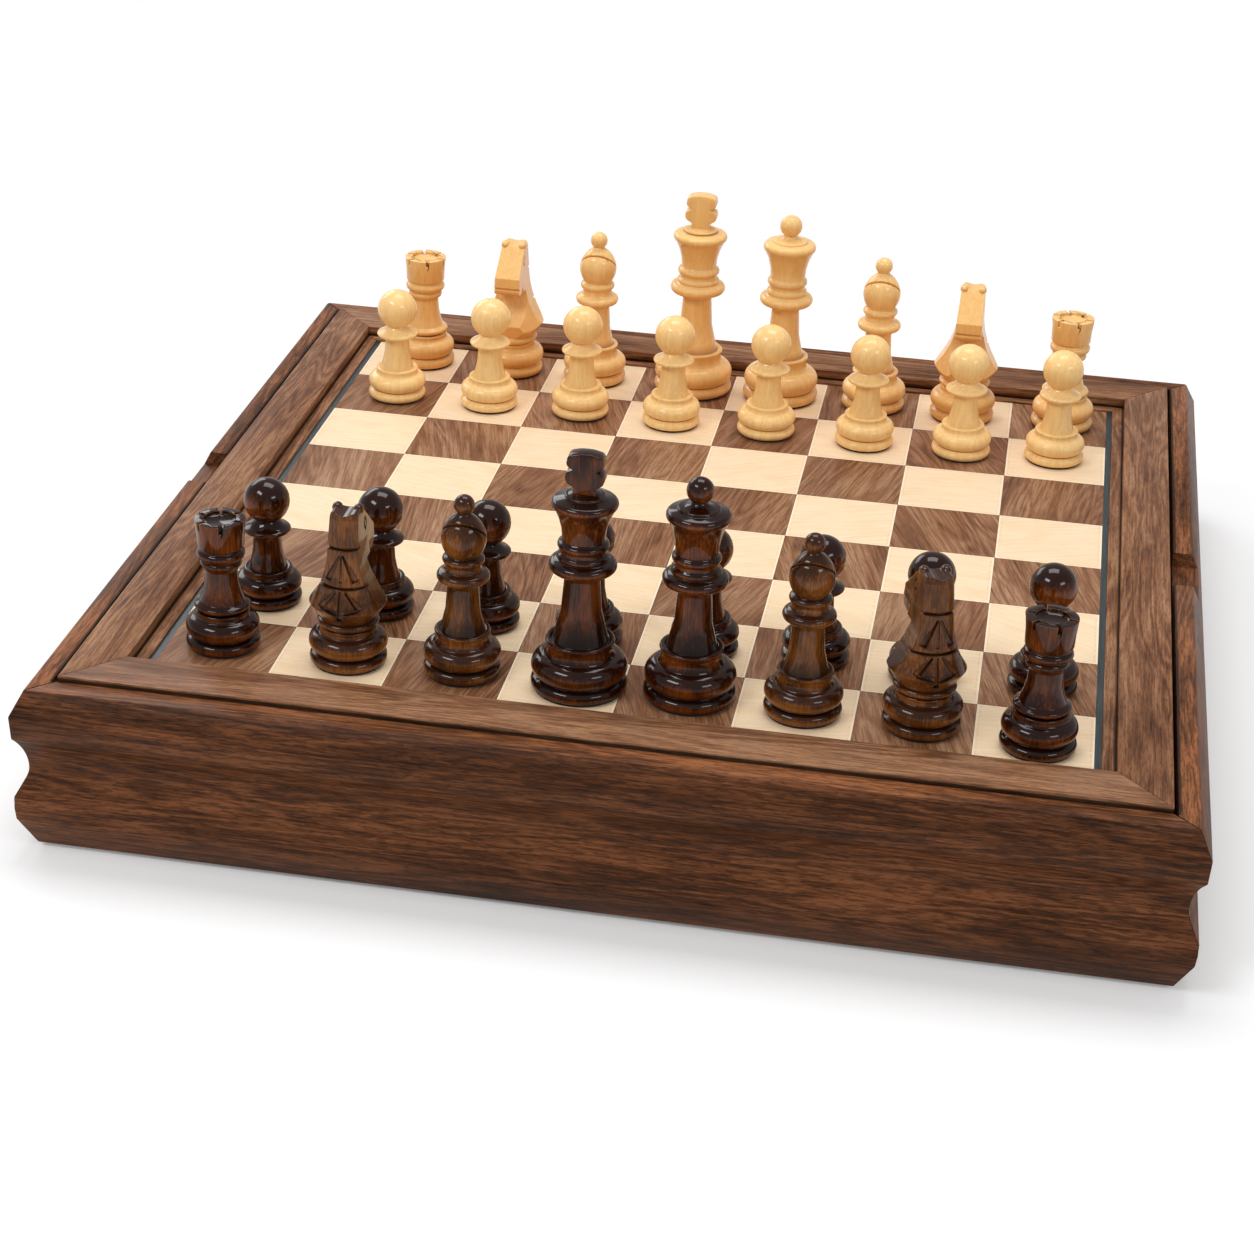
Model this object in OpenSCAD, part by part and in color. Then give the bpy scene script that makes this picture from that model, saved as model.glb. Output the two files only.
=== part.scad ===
// Chess box with drawers: a walnut box with an inlaid playing field let into its top, one
// drawer behind its left moulding and one behind its right, and a set of turned chess men.
// Millimetres, Z up. The origin is on the table under the middle of the box. The front is
// towards -Y, and the drawers open towards -X and +X.

/* [Playing field] */
// Side of one square
square_w = 38; // [36:1:44]
// Width of the slate line along the left and right of the field
slate_w = 2.2; // [1.5:0.1:4]
// Hairline joint around each veneer square
veneer_joint = 0.1; // [0.05:0.05:0.3]
// Thickness of the veneers
veneer_t = 0.6; // [0.4:0.1:1.5]
// Thickness of the plywood core under the veneers
core_t = 6; // [4:0.5:9]

/* [Frame] */
// Width of the strip that holds the field down all round
ledge_w = 4.5; // [3:0.5:8]
// Height of that strip above the field
ledge_rise = 0.8; // [0.4:0.1:2]
// Hairline joint where two lengths of that strip meet
ledge_joint = 0.1; // [0.05:0.05:0.3]
// Height of the frame above the field
frame_rise = 4.8; // [3:0.2:8]
// Height of the frame above the mouldings
frame_proud = 1.5; // [0.5:0.1:2.5]
// Width of the left and right rails
side_rail_w = 17.2; // [12:0.2:26]
// Width of the front and back rails
cross_rail_w = 18.6; // [12:0.2:26]
// Shadow line between the frame and the front and back mouldings
seam_w = 0.4; // [0.2:0.1:1]
// Slot between the frame and a drawer front
slot_w = 1.3; // [0.8:0.1:3]

/* [Moulding] */
// Height of the moulding
moulding_h = 56.8; // [54:0.2:70]
// Thickness of the drawer fronts at their fullest
drawer_front_t = 11; // [9:0.5:16]
// Thickness of the front and back mouldings at their fullest
cross_moulding_t = 12.7; // [10:0.1:18]
// How far the top edge is set in from the fullest part
top_inset = 4.3; // [2:0.1:6]
// Height of the slope below the top edge
top_slope_h = 8.5; // [5:0.5:12]
// How far the bottom edge is set in
bottom_inset = 5.3; // [2:0.1:7]
// Height of the chamfer above the bottom edge
chamfer_h = 11; // [6:0.5:13]
// Height of the deepest part of the cove
cove_z = 28.9; // [27:0.1:31]
// Depth of the cove
cove_depth = 4.25; // [3:0.05:5]
// Radius of the cove above its deepest part
cove_upper_r = 19; // [16:1:22]
// Radius of the cove below its deepest part
cove_lower_r = 9; // [6:1:12]
// Slant of the straight stretch below the cove, from upright
cove_slant = 28; // [24:1:34]
// Clearance in the mitres beside a drawer front
mitre_gap = 0.2; // [0.15:0.05:0.6]
// Length of the finger notch in a drawer front
notch_l = 27; // [18:1:40]
// Depth of the finger notch
notch_depth = 5.2; // [4.5:0.1:7]

/* [Case] */
// Thickness of the felt feet
foot_t = 1.2; // [0.8:0.1:3]
// Radius of the felt feet
foot_r = 9; // [6:0.5:14]
// Distance of the feet from the edges of the bottom
foot_inset = 22; // [18:1:40]
// Thickness of the bottom panel
bottom_t = 4; // [3.5:0.5:6]
// Thickness of the case walls
wall_t = 8; // [6:0.5:12]
// Thickness of the divider between the drawers
divider_t = 8; // [6:0.5:14]
// Depth of the battens that stop the drawers
batten_t = 3; // [2:0.5:4]
// Width of those battens
batten_w = 10; // [6:1:16]

/* [Screws] */
// Radius of a screw's head
head_r = 3.2; // [2.6:0.1:3.6]
// Height of a screw's head
head_h = 1.9; // [1.4:0.1:2.2]
// Radius of a screw's shank
shank_r = 1.5; // [1.2:0.1:2]
// Length of a screw's shank
shank_l = 11; // [8:1:16]
// Width of the slot in a screw's head
driver_slot_w = 0.9; // [0.6:0.1:1.2]
// Clearance around a screw
screw_gap = 0.1; // [0.05:0.05:0.3]
// Distance of the end screws from the ends of a wall
screw_inset = 26; // [20:1:50]

/* [Drawers] */
// How far a drawer opens
drawer_travel = 130; // [80:5:140]
// Thickness of the drawer sides
side_t = 6; // [5:0.5:8]
// Thickness of the drawer backs
back_t = 6; // [5:0.5:8]
// Clearance beside a drawer
side_gap = 0.5; // [0.3:0.1:1]
// Clearance under, over and behind a drawer
run_gap = 0.3; // [0.2:0.1:0.5]
// Thickness of the drawer bottoms
drawer_bottom_t = 2.5; // [2:0.5:4]
// Depth of the groove that holds a drawer bottom
groove_depth = 2.5; // [1.5:0.5:3.5]
// Height of a drawer bottom above the lower edge of the sides
bottom_raise = 1.1; // [0.8:0.1:3]
// Thickness of the felt lining
lining_t = 0.8; // [0.5:0.1:2]

/* [Chess men] */
// Size of the chess men, as a share of the set with a king of 82.8
men_size = 1; // [0.8:0.02:1.1]
// Thickness of the felt under each man
pad_t = 0.75; // [0.4:0.05:1.2]
// Turn of the last dark knight, in degrees
knight_turn = 20; // [-30:5:30]

/* [Hidden] */
$fn = 64;
SQUARES = 8;
EPS = 0.01;
BIG = 400;

field_half = SQUARES / 2 * square_w;
opening_x = field_half + slate_w + ledge_w;
opening_y = field_half + ledge_w;
frame_x = opening_x + side_rail_w;
frame_y = opening_y + cross_rail_w;
wall_y = frame_y + seam_w;
front_x = frame_x + slot_w;
outer_x = front_x + drawer_front_t;
outer_y = wall_y + cross_moulding_t;

moulding_top = foot_t + moulding_h;
frame_top = moulding_top + frame_proud;
field_z = frame_top - frame_rise;
core_top = field_z - veneer_t;
core_z = core_top - core_t;
floor_z = foot_t + bottom_t;

bay_y = wall_y - wall_t;
drawer_y = bay_y - side_gap;
drawer_z = floor_z + run_gap;
drawer_in_x = divider_t / 2 + run_gap;
batten_z = core_z - batten_t;
drawer_side_h = batten_z - run_gap - drawer_z;
drawer_back_h = core_z - run_gap - drawer_z;
batten_x = drawer_in_x + back_t + drawer_travel + run_gap;
tray_z = drawer_z + bottom_raise;
lining_z = tray_z + drawer_bottom_t;

counterbore_h = head_h + screw_gap;
screw_y = wall_y - wall_t / 2;
screw_xs = [for (i = [0:3]) (frame_x - screw_inset) * (2 * i / 3 - 1)];
divider_screw_ys = [-bay_y / 2, bay_y / 2];

// The men stand as a player leaves them, so each is a little off the middle of its
// square. The rows are the dark back rank, dark pawns, light pawns and light back rank,
// and the offsets are for the square that the set was made for.
RANK_ROWS = [0, 1, 6, 7];
SET_SQUARE_W = 38;
OFF_X = [
    [-1, 4, 4, 5, 3, 2, 2, 1],
    [4, 5, 4, 2, 3, 2, 0, 1],
    [2, 2, 1, 0, 0, 1, 1, -1],
    [4, 3, 0, 3, 1, 1, -1, 1]
];
OFF_Y = [
    [1, 0, 1, 0, 2, 0, 0, -5],
    [-1, 1, 0, -4, -2, 0, -4, -3],
    [0, 0, 1, 0, 0, -1, -1, 2],
    [2, 2, 1, 1, 1, 1, -1, 0]
];
OFFICERS = [
    "rook_left", "knight_left", "bishop_left", "king",
    "queen", "bishop_right", "knight_right", "rook_right"
];
KINDS = ["rook", "knight", "bishop", "king", "queen", "bishop", "knight", "rook"];

WALNUT = "#6b4630";
WALNUT_LIGHT = "#80583c";
MAPLE = "#f0d9a6";
SLATE = "#3c4548";
PLYWOOD = "#cfa873";
DRAWER_WOOD = "#c9a06c";
FELT = "#2b2b2b";
STEEL = "#9a9a96";
BOXWOOD = "#e2b36a";
EBONISED = "#3a2012";

BOX_NODES = [
    "felt_feet", "bottom_panel", "bottom_screws", "case_wall_front", "case_wall_back", "centre_divider",
    "stop_battens", "board_core", "light_squares", "dark_squares", "slate_strips", "ledge_strips",
    "frame_rail_front", "frame_rail_back", "frame_rail_left", "frame_rail_right",
    "front_moulding", "back_moulding"
];
DRAWER_PIECES = ["front", "sides", "back", "bottom", "lining"];
SIDES = ["left", "right"];
COLOURS = ["dark", "light"];
DRAWER_NODES = [for (s = SIDES, p = DRAWER_PIECES) str(s, "_drawer_", p)];
OFFICER_NODES = [for (c = COLOURS, o = OFFICERS) str(c, "_", o)];
PAWN_NODES = [for (c = COLOURS, n = [1:SQUARES]) str(c, "_pawn_", n)];

// ---- Outlines -------------------------------------------------------------------------

function arc(centre, r, from, to, steps) =
    [for (i = [0:steps]) let (a = from + (to - from) * i / steps) centre + r * [cos(a), sin(a)]];

// The points of an arc from a to b that bows out by bow, without a itself.
function bowed(a, b, bow) =
    let (
        chord = b - a,
        len = norm(chord),
        along = chord / len,
        out = [along[1], -along[0]] * sign(bow),
        half = 2 * atan(2 * abs(bow) / len),
        r = len / (2 * sin(half)),
        centre = (a + b) / 2 - out * r * cos(half),
        steps = max(2, ceil(half / 9))
    )
    [
        for (i = [1:steps])
            let (t = -half + 2 * half * i / steps)
            centre + r * (out * cos(t) + along * sin(t))
    ];

// A turned outline from stations [radius, height, bow], where bow is how far the stretch
// below a station swells (above 0) or is hollowed (below 0).
function turned(stations) = [
    for (i = [0:len(stations) - 1])
        let (p = [stations[i][0], stations[i][1]])
        each i == 0 || stations[i][2] == 0
            ? [p]
            : bowed([stations[i - 1][0], stations[i - 1][1]], p, stations[i][2])
];

// A ball on a neck, from the neck to the top.
function ball(neck_r, ball_r, centre_z) = arc([0, centre_z], ball_r, -acos(neck_r / ball_r), 90, 14);

module lathe(outline) {
    top = outline[len(outline) - 1][1];
    rotate_extrude() polygon(concat([[0, outline[0][1]]], outline, [[0, top]]));
}

// ---- Case -----------------------------------------------------------------------------

module box(low, high) {
    translate(low) cube(high - low);
}

module mirrored_x() {
    children();
    mirror([1, 0, 0]) children();
}

module mirrored_y() {
    children();
    mirror([0, 1, 0]) children();
}

module at_screws() {
    mirrored_y() for (x = screw_xs) translate([x, screw_y, foot_t]) children();
    for (y = divider_screw_ys) translate([0, y, foot_t]) children();
}

module screw_hole() {
    translate([0, 0, -EPS]) cylinder(h = counterbore_h + EPS, r = head_r + screw_gap);
    cylinder(h = counterbore_h + shank_l + screw_gap, r = shank_r + screw_gap);
}

module felt_feet() {
    color(FELT) mirrored_x() mirrored_y()
        translate([frame_x - foot_inset, wall_y - foot_inset, 0]) cylinder(h = foot_t, r = foot_r);
}

module bottom_panel() {
    color(PLYWOOD) difference() {
        box([-frame_x, -wall_y, foot_t], [frame_x, wall_y, floor_z]);
        at_screws() screw_hole();
    }
}

module bottom_screws() {
    color(STEEL) at_screws() {
        difference() {
            translate([0, 0, screw_gap]) cylinder(h = head_h, r = head_r);
            translate([-head_r, -driver_slot_w / 2, 0])
                cube([2 * head_r, driver_slot_w, screw_gap + head_h / 2]);
        }
        translate([0, 0, counterbore_h - EPS]) cylinder(h = shank_l + EPS, r = shank_r);
    }
}

module case_wall() {
    difference() {
        box([-frame_x, -wall_y, floor_z], [frame_x, -bay_y, core_z]);
        at_screws() screw_hole();
    }
}

module case_wall_front() {
    color(PLYWOOD) case_wall();
}

module case_wall_back() {
    color(PLYWOOD) mirror([0, 1, 0]) case_wall();
}

module centre_divider() {
    color(PLYWOOD) difference() {
        box([-divider_t / 2, -bay_y, floor_z], [divider_t / 2, bay_y, core_z]);
        at_screws() screw_hole();
    }
}

module stop_battens() {
    color(DRAWER_WOOD) mirrored_x()
        box([batten_x, -bay_y, batten_z], [batten_x + batten_w, bay_y, core_z]);
}

module board_core() {
    color(PLYWOOD) box([-frame_x, -frame_y, core_z], [frame_x, frame_y, core_top]);
}

// ---- Playing field --------------------------------------------------------------------

module squares(parity) {
    cut = square_w - veneer_joint;
    for (column = [0:SQUARES - 1], row = [0:SQUARES - 1])
        if ((column + row) % 2 == parity)
            translate([
                column * square_w - field_half + veneer_joint / 2,
                row * square_w - field_half + veneer_joint / 2,
                core_top
            ])
                cube([cut, cut, veneer_t]);
}

module light_squares() {
    color(MAPLE) squares(1);
}

module dark_squares() {
    color(WALNUT) squares(0);
}

module slate_strips() {
    color(SLATE) mirrored_x()
        box([field_half, -field_half, core_top], [field_half + slate_w, field_half, field_z]);
}

// ---- Frame ----------------------------------------------------------------------------

// A mitred length between an inner and an outer half size, along the front or the right.
module mitred(inner, outer, low, high) {
    translate([0, 0, low]) linear_extrude(high - low)
        polygon([-outer, [outer[0], -outer[1]], [inner[0], -inner[1]], -inner]);
}

module mitred_side(inner, outer, low, high) {
    translate([0, 0, low]) linear_extrude(high - low)
        polygon([[outer[0], -outer[1]], outer, inner, [inner[0], -inner[1]]]);
}

module ledge_strips() {
    inner = [opening_x - ledge_w, opening_y - ledge_w];
    outer = [opening_x, opening_y];
    along_x = [ledge_joint / sqrt(2), 0];
    along_y = [0, ledge_joint / sqrt(2)];
    top = field_z + ledge_rise;
    color(WALNUT_LIGHT) {
        mirrored_y() mitred(inner - along_x, outer - along_x, core_top, top);
        mirrored_x() mitred_side(inner - along_y, outer - along_y, core_top, top);
    }
}

module cross_rail() {
    mitred([opening_x, opening_y], [frame_x, frame_y], core_top, frame_top);
}

module side_rail() {
    mitred_side([opening_x, opening_y], [frame_x, frame_y], core_top, frame_top);
}

module frame_rail_front() {
    color(WALNUT_LIGHT) cross_rail();
}

module frame_rail_back() {
    color(WALNUT_LIGHT) mirror([0, 1, 0]) cross_rail();
}

module frame_rail_left() {
    color(WALNUT_LIGHT) mirror([1, 0, 0]) side_rail();
}

module frame_rail_right() {
    color(WALNUT_LIGHT) side_rail();
}

// ---- Moulding -------------------------------------------------------------------------

// The section of the moulding, t thick at its fullest: outwards from its inner face, and up.
function moulding_section(t) =
    let (
        ARRIS = 0.35,
        deepest = t - cove_depth,
        upper_turn = acos(1 - (cove_depth - ARRIS) / cove_upper_r),
        slant_x = deepest + cove_lower_r * (1 - cos(cove_slant)),
        slant_top = [slant_x, cove_z - cove_lower_r * sin(cove_slant)],
        belly_top = slant_top[1] - (t - ARRIS / 3 - slant_top[0]) / tan(cove_slant)
    )
    concat(
        [
            [0, 0],
            [t - bottom_inset, 0],
            [t - ARRIS, chamfer_h],
            [t, (chamfer_h + belly_top) / 2],
            [t - ARRIS / 3, belly_top]
        ],
        arc([deepest + cove_lower_r, cove_z], cove_lower_r, 180 + cove_slant, 180, 4),
        arc([deepest + cove_upper_r, cove_z], cove_upper_r, 180 - upper_turn / 6, 180 - upper_turn, 5),
        [
            [t, moulding_h - top_slope_h],
            [t - top_inset, moulding_h],
            [0, moulding_h]
        ]
    );

module cross_moulding() {
    inner_x = outer_x - cross_moulding_t;
    intersection() {
        translate([-outer_x, -wall_y, foot_t]) rotate([90, 0, 90]) linear_extrude(2 * outer_x)
            mirror([1, 0]) polygon(moulding_section(cross_moulding_t));
        mitred([inner_x, wall_y], [outer_x, outer_y], 0, frame_top);
    }
}

module front_moulding() {
    color(WALNUT) cross_moulding();
}

module back_moulding() {
    color(WALNUT) mirror([0, 1, 0]) cross_moulding();
}

// ---- Drawers --------------------------------------------------------------------------

module drawer_front() {
    mitre = mitre_gap * sqrt(2);
    inner_y = outer_y - drawer_front_t - mitre;
    difference() {
        intersection() {
            translate([front_x, outer_y, foot_t]) rotate([90, 0, 0]) linear_extrude(2 * outer_y)
                polygon(moulding_section(drawer_front_t));
            mitred_side([front_x, inner_y], [outer_x, outer_y - mitre], 0, frame_top);
        }
        translate([front_x - 1, -notch_l / 2, moulding_top - notch_depth])
            cube([drawer_front_t + 2, notch_l, notch_depth + 1]);
        drawer_tray();
    }
}

// The space that a drawer bottom takes, in the grooves all round.
module drawer_tray() {
    tray_y = drawer_y - side_t + groove_depth;
    box(
        [drawer_in_x + back_t - groove_depth, -tray_y, tray_z],
        [front_x + groove_depth, tray_y, tray_z + drawer_bottom_t]
    );
}

module drawer_sides() {
    difference() {
        mirrored_y() box(
            [drawer_in_x, drawer_y - side_t, drawer_z],
            [front_x, drawer_y, drawer_z + drawer_side_h]
        );
        drawer_tray();
    }
}

module drawer_back() {
    half_l = drawer_y - side_t;
    difference() {
        box([drawer_in_x, -half_l, drawer_z], [drawer_in_x + back_t, half_l, drawer_z + drawer_back_h]);
        drawer_tray();
    }
}

module drawer_lining() {
    half_l = drawer_y - side_t;
    box([drawer_in_x + back_t, -half_l, lining_z], [front_x, half_l, lining_z + lining_t]);
}

module right_drawer(piece) {
    if (piece == "front") color(WALNUT) drawer_front();
    if (piece == "sides") color(DRAWER_WOOD) drawer_sides();
    if (piece == "back") color(DRAWER_WOOD) drawer_back();
    if (piece == "bottom") color(PLYWOOD) drawer_tray();
    if (piece == "lining") color(FELT) drawer_lining();
}

module drawer_piece(side, piece) {
    if (side == "left") mirror([1, 0, 0]) right_drawer(piece);
    if (side == "right") right_drawer(piece);
}

// ---- Chess men ------------------------------------------------------------------------

// Heights are above the field. Every man has the same turned foot: a base ring, a deep
// groove, a full bead and a cup with a rounded lip that the stem rises from. The wood starts
// above the felt and its film of glue.
GLUE_T = 0.05;
WOOD_Z = pad_t + GLUE_T;

function foot(base_r, base_h, bead_bow, cup_r, cup_z, lip_z) = [
    [base_r - 0.9, WOOD_Z, 0],
    [base_r - 1, base_h, 0.9],
    [base_r - 2.1, base_h + 0.5, 0],
    [cup_r + 0.4, cup_z, bead_bow],
    [cup_r - 0.1, cup_z + 1.4, -0.3],
    [cup_r, lip_z, 0],
    [cup_r - 0.5, lip_z + 1, 0.3],
    [cup_r - 1.7, lip_z + 0.9, 0]
];

KING = concat(foot(15.8, 4.4, 3, 11.2, 12.6, 17.2), [
    [9.1, 17.8, 0], [5.8, 39, -0.9], [6.6, 41.2, -0.3], [9.5, 42.2, 0], [9.1, 46.1, 1.7], [8.2, 46.5, 0],
    [8.1, 48.1, 0.3], [7.4, 48.6, 0], [7.4, 49.9, 0], [7.5, 52.5, 0.9], [6.9, 53.2, 0], [9.9, 64, -0.7],
    [9.6, 67, 1], [6.4, 67.6, 0], [5.9, 68.6, 0.4], [4.3, 69.2, -0.1], [0, 69.4, 0]
]);
KING_FINIAL = [
    [3.9, 68.4, 0], [3.5, 71.3, -0.1], [5.5, 72.4, 0], [5.9, 76.2, 0.6], [3.7, 77, 0], [5, 77.8, 0],
    [5.8, 80.2, 0.5], [4.3, 82.2, 0.5], [0, 82.8, 0.2]
];
QUEEN = concat(foot(15.2, 4.5, 3, 10.3, 12.9, 17.9), [
    [8.3, 18.4, 0], [5.6, 37, -0.8], [6.3, 39.6, -0.3], [9.1, 40.6, 0], [8.8, 44.4, 1.7], [7.9, 44.9, 0],
    [7.7, 46.8, 0.3], [7.1, 47.3, 0], [7.1, 48.6, 0], [7.2, 51.3, 0.8], [6.9, 52, 0], [9.7, 62.8, -0.7],
    [9.4, 66, 0.9], [7, 66.3, 0], [6.6, 67.2, 0.1], [3, 68.3, -0.3]
], ball_stations(2.4, 4.4, 72.8));
BISHOP = concat(foot(12.75, 4.2, 2.7, 9.1, 11.4, 15.2), [
    [7.4, 15.8, 0], [5.2, 30.9, -0.6], [5.6, 32.8, -0.2], [7.5, 33.6, 0], [7.2, 36.9, 1.3], [6.2, 37.4, 0],
    [6, 39.8, -0.2], [6.2, 42.2, 0.8], [5.4, 42.6, 0], [7.4, 49, 0.6], [2.6, 56.6, 1]
], ball_stations(2.2, 3.4, 59.8));
ROOK = concat(foot(12.3, 4.1, 2.4, 8.9, 11.4, 12.8), [
    [7.6, 14, 0], [8.6, 14.5, 0], [8.7, 16.3, 0.6], [7.5, 17, 0], [5.4, 27.4, -0.5], [5.7, 29, -0.2],
    [6.3, 29.4, 0], [6.3, 31.4, 0.5], [7, 32.3, 0], [7, 35.2, 0.9], [6.8, 35.8, 0], [7.7, 36.6, 0],
    [8.3, 46, -0.15], [0, 46, 0]
]);
PAWN = concat(foot(11.5, 3.9, 2.4, 8.2, 10.4, 13.3), [
    [6.6, 14, 0], [4.8, 23, -0.5], [4.9, 25.2, -0.1], [7.5, 26.2, 0], [7.8, 27.5, 0.35], [4.6, 29.7, -0.3]
], ball_stations(4, 7.8, 37.2));
KNIGHT = concat(foot(12.8, 4.2, 2.8, 9.3, 11.5, 13), [
    [8.6, 13.8, 0], [9.3, 14.4, 0], [9.4, 16.6, 0.8], [8.8, 17, 0], [0, 17, 0]
]);

function ball_stations(neck_r, ball_r, centre_z) =
    [for (p = ball(neck_r, ball_r, centre_z)) [p[0], p[1], 0]];

CROSS_T = 5.8;
SLIT_W = 0.8;
SLIT_Z = 49.5;
SLIT_LEAN = 47;
ROOK_BORE_R = 5.3;
ROOK_BORE_DEPTH = 1.6;
CRENEL_W = 1.2;
CRENEL_DEPTH = 2.6;
CRENEL_TURNS = [-12, 48, 108];

module king() {
    half = turned(KING_FINIAL);
    other_half = [for (i = [len(half) - 2:-1:0]) [-half[i][0], half[i][1]]];
    lathe(turned(KING));
    translate([0, CROSS_T / 2, 0]) rotate([90, 0, 0]) linear_extrude(CROSS_T)
        polygon(concat(half, other_half));
}

module queen() {
    lathe(turned(QUEEN));
}

module bishop() {
    difference() {
        lathe(turned(BISHOP));
        translate([0, 0, SLIT_Z]) rotate([-SLIT_LEAN, 0, 0])
            translate([-BIG / 2, -BIG, -SLIT_W / 2]) cube([BIG, BIG, SLIT_W]);
    }
}

// The saw cuts of the battlements go through the rim alone.
module rook() {
    top = ROOK[len(ROOK) - 1][1];
    difference() {
        lathe(turned(ROOK));
        translate([0, 0, top - ROOK_BORE_DEPTH]) cylinder(h = BIG, r = ROOK_BORE_R);
        difference() {
            for (turn = CRENEL_TURNS)
                rotate(turn) translate([-BIG / 2, -CRENEL_W / 2, top - CRENEL_DEPTH])
                    cube([BIG, CRENEL_W, BIG]);
            translate([0, 0, -BIG / 2]) cylinder(h = BIG * 2, r = ROOK_BORE_R);
        }
    }
}

module pawn() {
    lathe(turned(PAWN));
}

// The knight faces -Y. Its body is carved from a turned block, so the back of the neck is
// round. The outlines are [forward, height] from the side and [half width, height] in front.
KNIGHT_BLOCK = [[8.8, 16.9, 0], [12.7, 22.3, 0.2], [8.6, 40, -0.8], [6.7, 53, 0], [5.6, 57, 0]];
NECK_SIDE = concat(
    [[-14, 16.9], [8.6, 16.9], [9.9, 22.4]],
    bowed([9.9, 22.4], [2.2, 38.2], -1.3),
    [[2.2, 44], [-14, 44]]
);
HEAD_SIDE = [
    [-14, 36], [1.8, 36.6], [12.2, 37], [13.4, 37.8], [14.4, 39.6], [13.8, 44.4], [9.4, 47.4], [4, 53],
    [2, 54.6], [-1.4, 56], [-14, 56]
];
BODY_WIDTH = concat([[13, 16.9], [13, 22]], bowed([13, 22], [5.1, 44], -2.2), [[4.7, 53], [4.5, 57]]);
MUZZLE_LOW = [-5.2, -16, 30];
MUZZLE_HIGH = [5.2, 0, 57];
CHEST_CORNER = [5.2, 2.2, 38.2];
CHEST_TURN = 50;
CHEST_LEAN = 19.5;
POLL_R = 4.6;
POLL_Z = 53.2;

module from_side(outline) {
    translate([-BIG / 2, 0, 0]) rotate([90, 0, 90]) linear_extrude(BIG) mirror([1, 0]) polygon(outline);
}

module from_front(half_outline) {
    mirrored = [for (i = [len(half_outline) - 1:-1:0]) [-half_outline[i][0], half_outline[i][1]]];
    translate([0, BIG / 2, 0]) rotate([90, 0, 0]) linear_extrude(BIG)
        polygon(concat(half_outline, mirrored));
}

module knight_neck() {
    difference() {
        intersection() {
            lathe(turned(KNIGHT_BLOCK));
            from_side(NECK_SIDE);
            from_front(BODY_WIDTH);
        }
        mirrored_x() translate([CHEST_CORNER[0], -CHEST_CORNER[1], CHEST_CORNER[2]])
            rotate([0, -CHEST_LEAN, -CHEST_TURN]) translate([0, -BIG / 2, -BIG / 2]) cube([BIG, BIG, BIG]);
    }
}

module knight_head() {
    difference() {
        intersection() {
            union() {
                lathe(turned(KNIGHT_BLOCK));
                box(MUZZLE_LOW, MUZZLE_HIGH);
            }
            from_side(HEAD_SIDE);
            from_front(BODY_WIDTH);
        }
        translate([0, BIG / 2, POLL_Z + POLL_R]) rotate([90, 0, 0]) cylinder(h = BIG, r = POLL_R);
    }
}

module knight() {
    lathe(turned(KNIGHT));
    knight_neck();
    knight_head();
}

// The felt under a man, a little smaller than the wood that it is glued to.
module pad(stations) {
    cylinder(h = pad_t, r = stations[0][0] - 0.1);
}

module man(kind) {
    if (kind == "king") { king(); pad(KING); }
    if (kind == "queen") { queen(); pad(QUEEN); }
    if (kind == "bishop") { bishop(); pad(BISHOP); }
    if (kind == "knight") { knight(); pad(KNIGHT); }
    if (kind == "rook") { rook(); pad(ROOK); }
    if (kind == "pawn") { pawn(); pad(PAWN); }
}

// One man of the set: rank 0 is the dark back rank and rank 3 the light one. The knights
// face each other across the board, and the last dark one stands a little askew.
module place(rank, column) {
    kind = rank == 1 || rank == 2 ? "pawn" : KINDS[column];
    row = RANK_ROWS[rank];
    x = (column + 0.5 + OFF_X[rank][column] / SET_SQUARE_W) * square_w - field_half;
    y = (row + 0.5 + OFF_Y[rank][column] / SET_SQUARE_W) * square_w - field_half;
    facing = rank == 0 && kind == "knight" ? 180 : 0;
    askew = rank == 0 && column == 6 ? knight_turn : 0;
    shade = rank < 2 ? EBONISED : BOXWOOD;
    color(shade) translate([x, y, field_z]) rotate(facing + askew) scale(men_size) man(kind);
}

// ---- Nodes ----------------------------------------------------------------------------

felt_feet();
bottom_panel();
bottom_screws();
case_wall_front();
case_wall_back();
centre_divider();
stop_battens();
board_core();
light_squares();
dark_squares();
slate_strips();
ledge_strips();
frame_rail_front();
frame_rail_back();
frame_rail_left();
frame_rail_right();
front_moulding();
back_moulding();
for (side = SIDES, piece = DRAWER_PIECES)
    drawer_piece(side, piece);
for (column = [0:SQUARES - 1]) {
    place(0, column);
    place(1, column);
    place(2, column);
    place(3, column);
}
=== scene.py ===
"""A chess box with drawers: walnut mouldings, an inlaid board and lacquered turned men."""

import math

import bpy
from mathutils import Matrix, Vector


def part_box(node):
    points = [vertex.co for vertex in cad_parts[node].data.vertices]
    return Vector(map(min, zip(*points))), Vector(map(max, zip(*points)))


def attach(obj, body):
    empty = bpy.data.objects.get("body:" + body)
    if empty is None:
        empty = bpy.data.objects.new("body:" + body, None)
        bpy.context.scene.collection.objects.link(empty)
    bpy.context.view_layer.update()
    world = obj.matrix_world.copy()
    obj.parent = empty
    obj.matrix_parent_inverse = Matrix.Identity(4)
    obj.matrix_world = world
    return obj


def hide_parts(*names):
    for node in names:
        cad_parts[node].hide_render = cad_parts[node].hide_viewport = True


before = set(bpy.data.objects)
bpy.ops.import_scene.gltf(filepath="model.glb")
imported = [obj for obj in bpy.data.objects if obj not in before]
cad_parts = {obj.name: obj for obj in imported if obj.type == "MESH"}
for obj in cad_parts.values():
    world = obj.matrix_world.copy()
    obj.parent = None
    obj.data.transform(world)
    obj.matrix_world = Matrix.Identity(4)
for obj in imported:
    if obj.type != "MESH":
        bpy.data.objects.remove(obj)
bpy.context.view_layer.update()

# ---- Sizes, in millimetres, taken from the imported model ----

MM = 0.001


def span(node):
    """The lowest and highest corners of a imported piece."""
    low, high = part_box(node)
    return low / MM, high / MM


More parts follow.
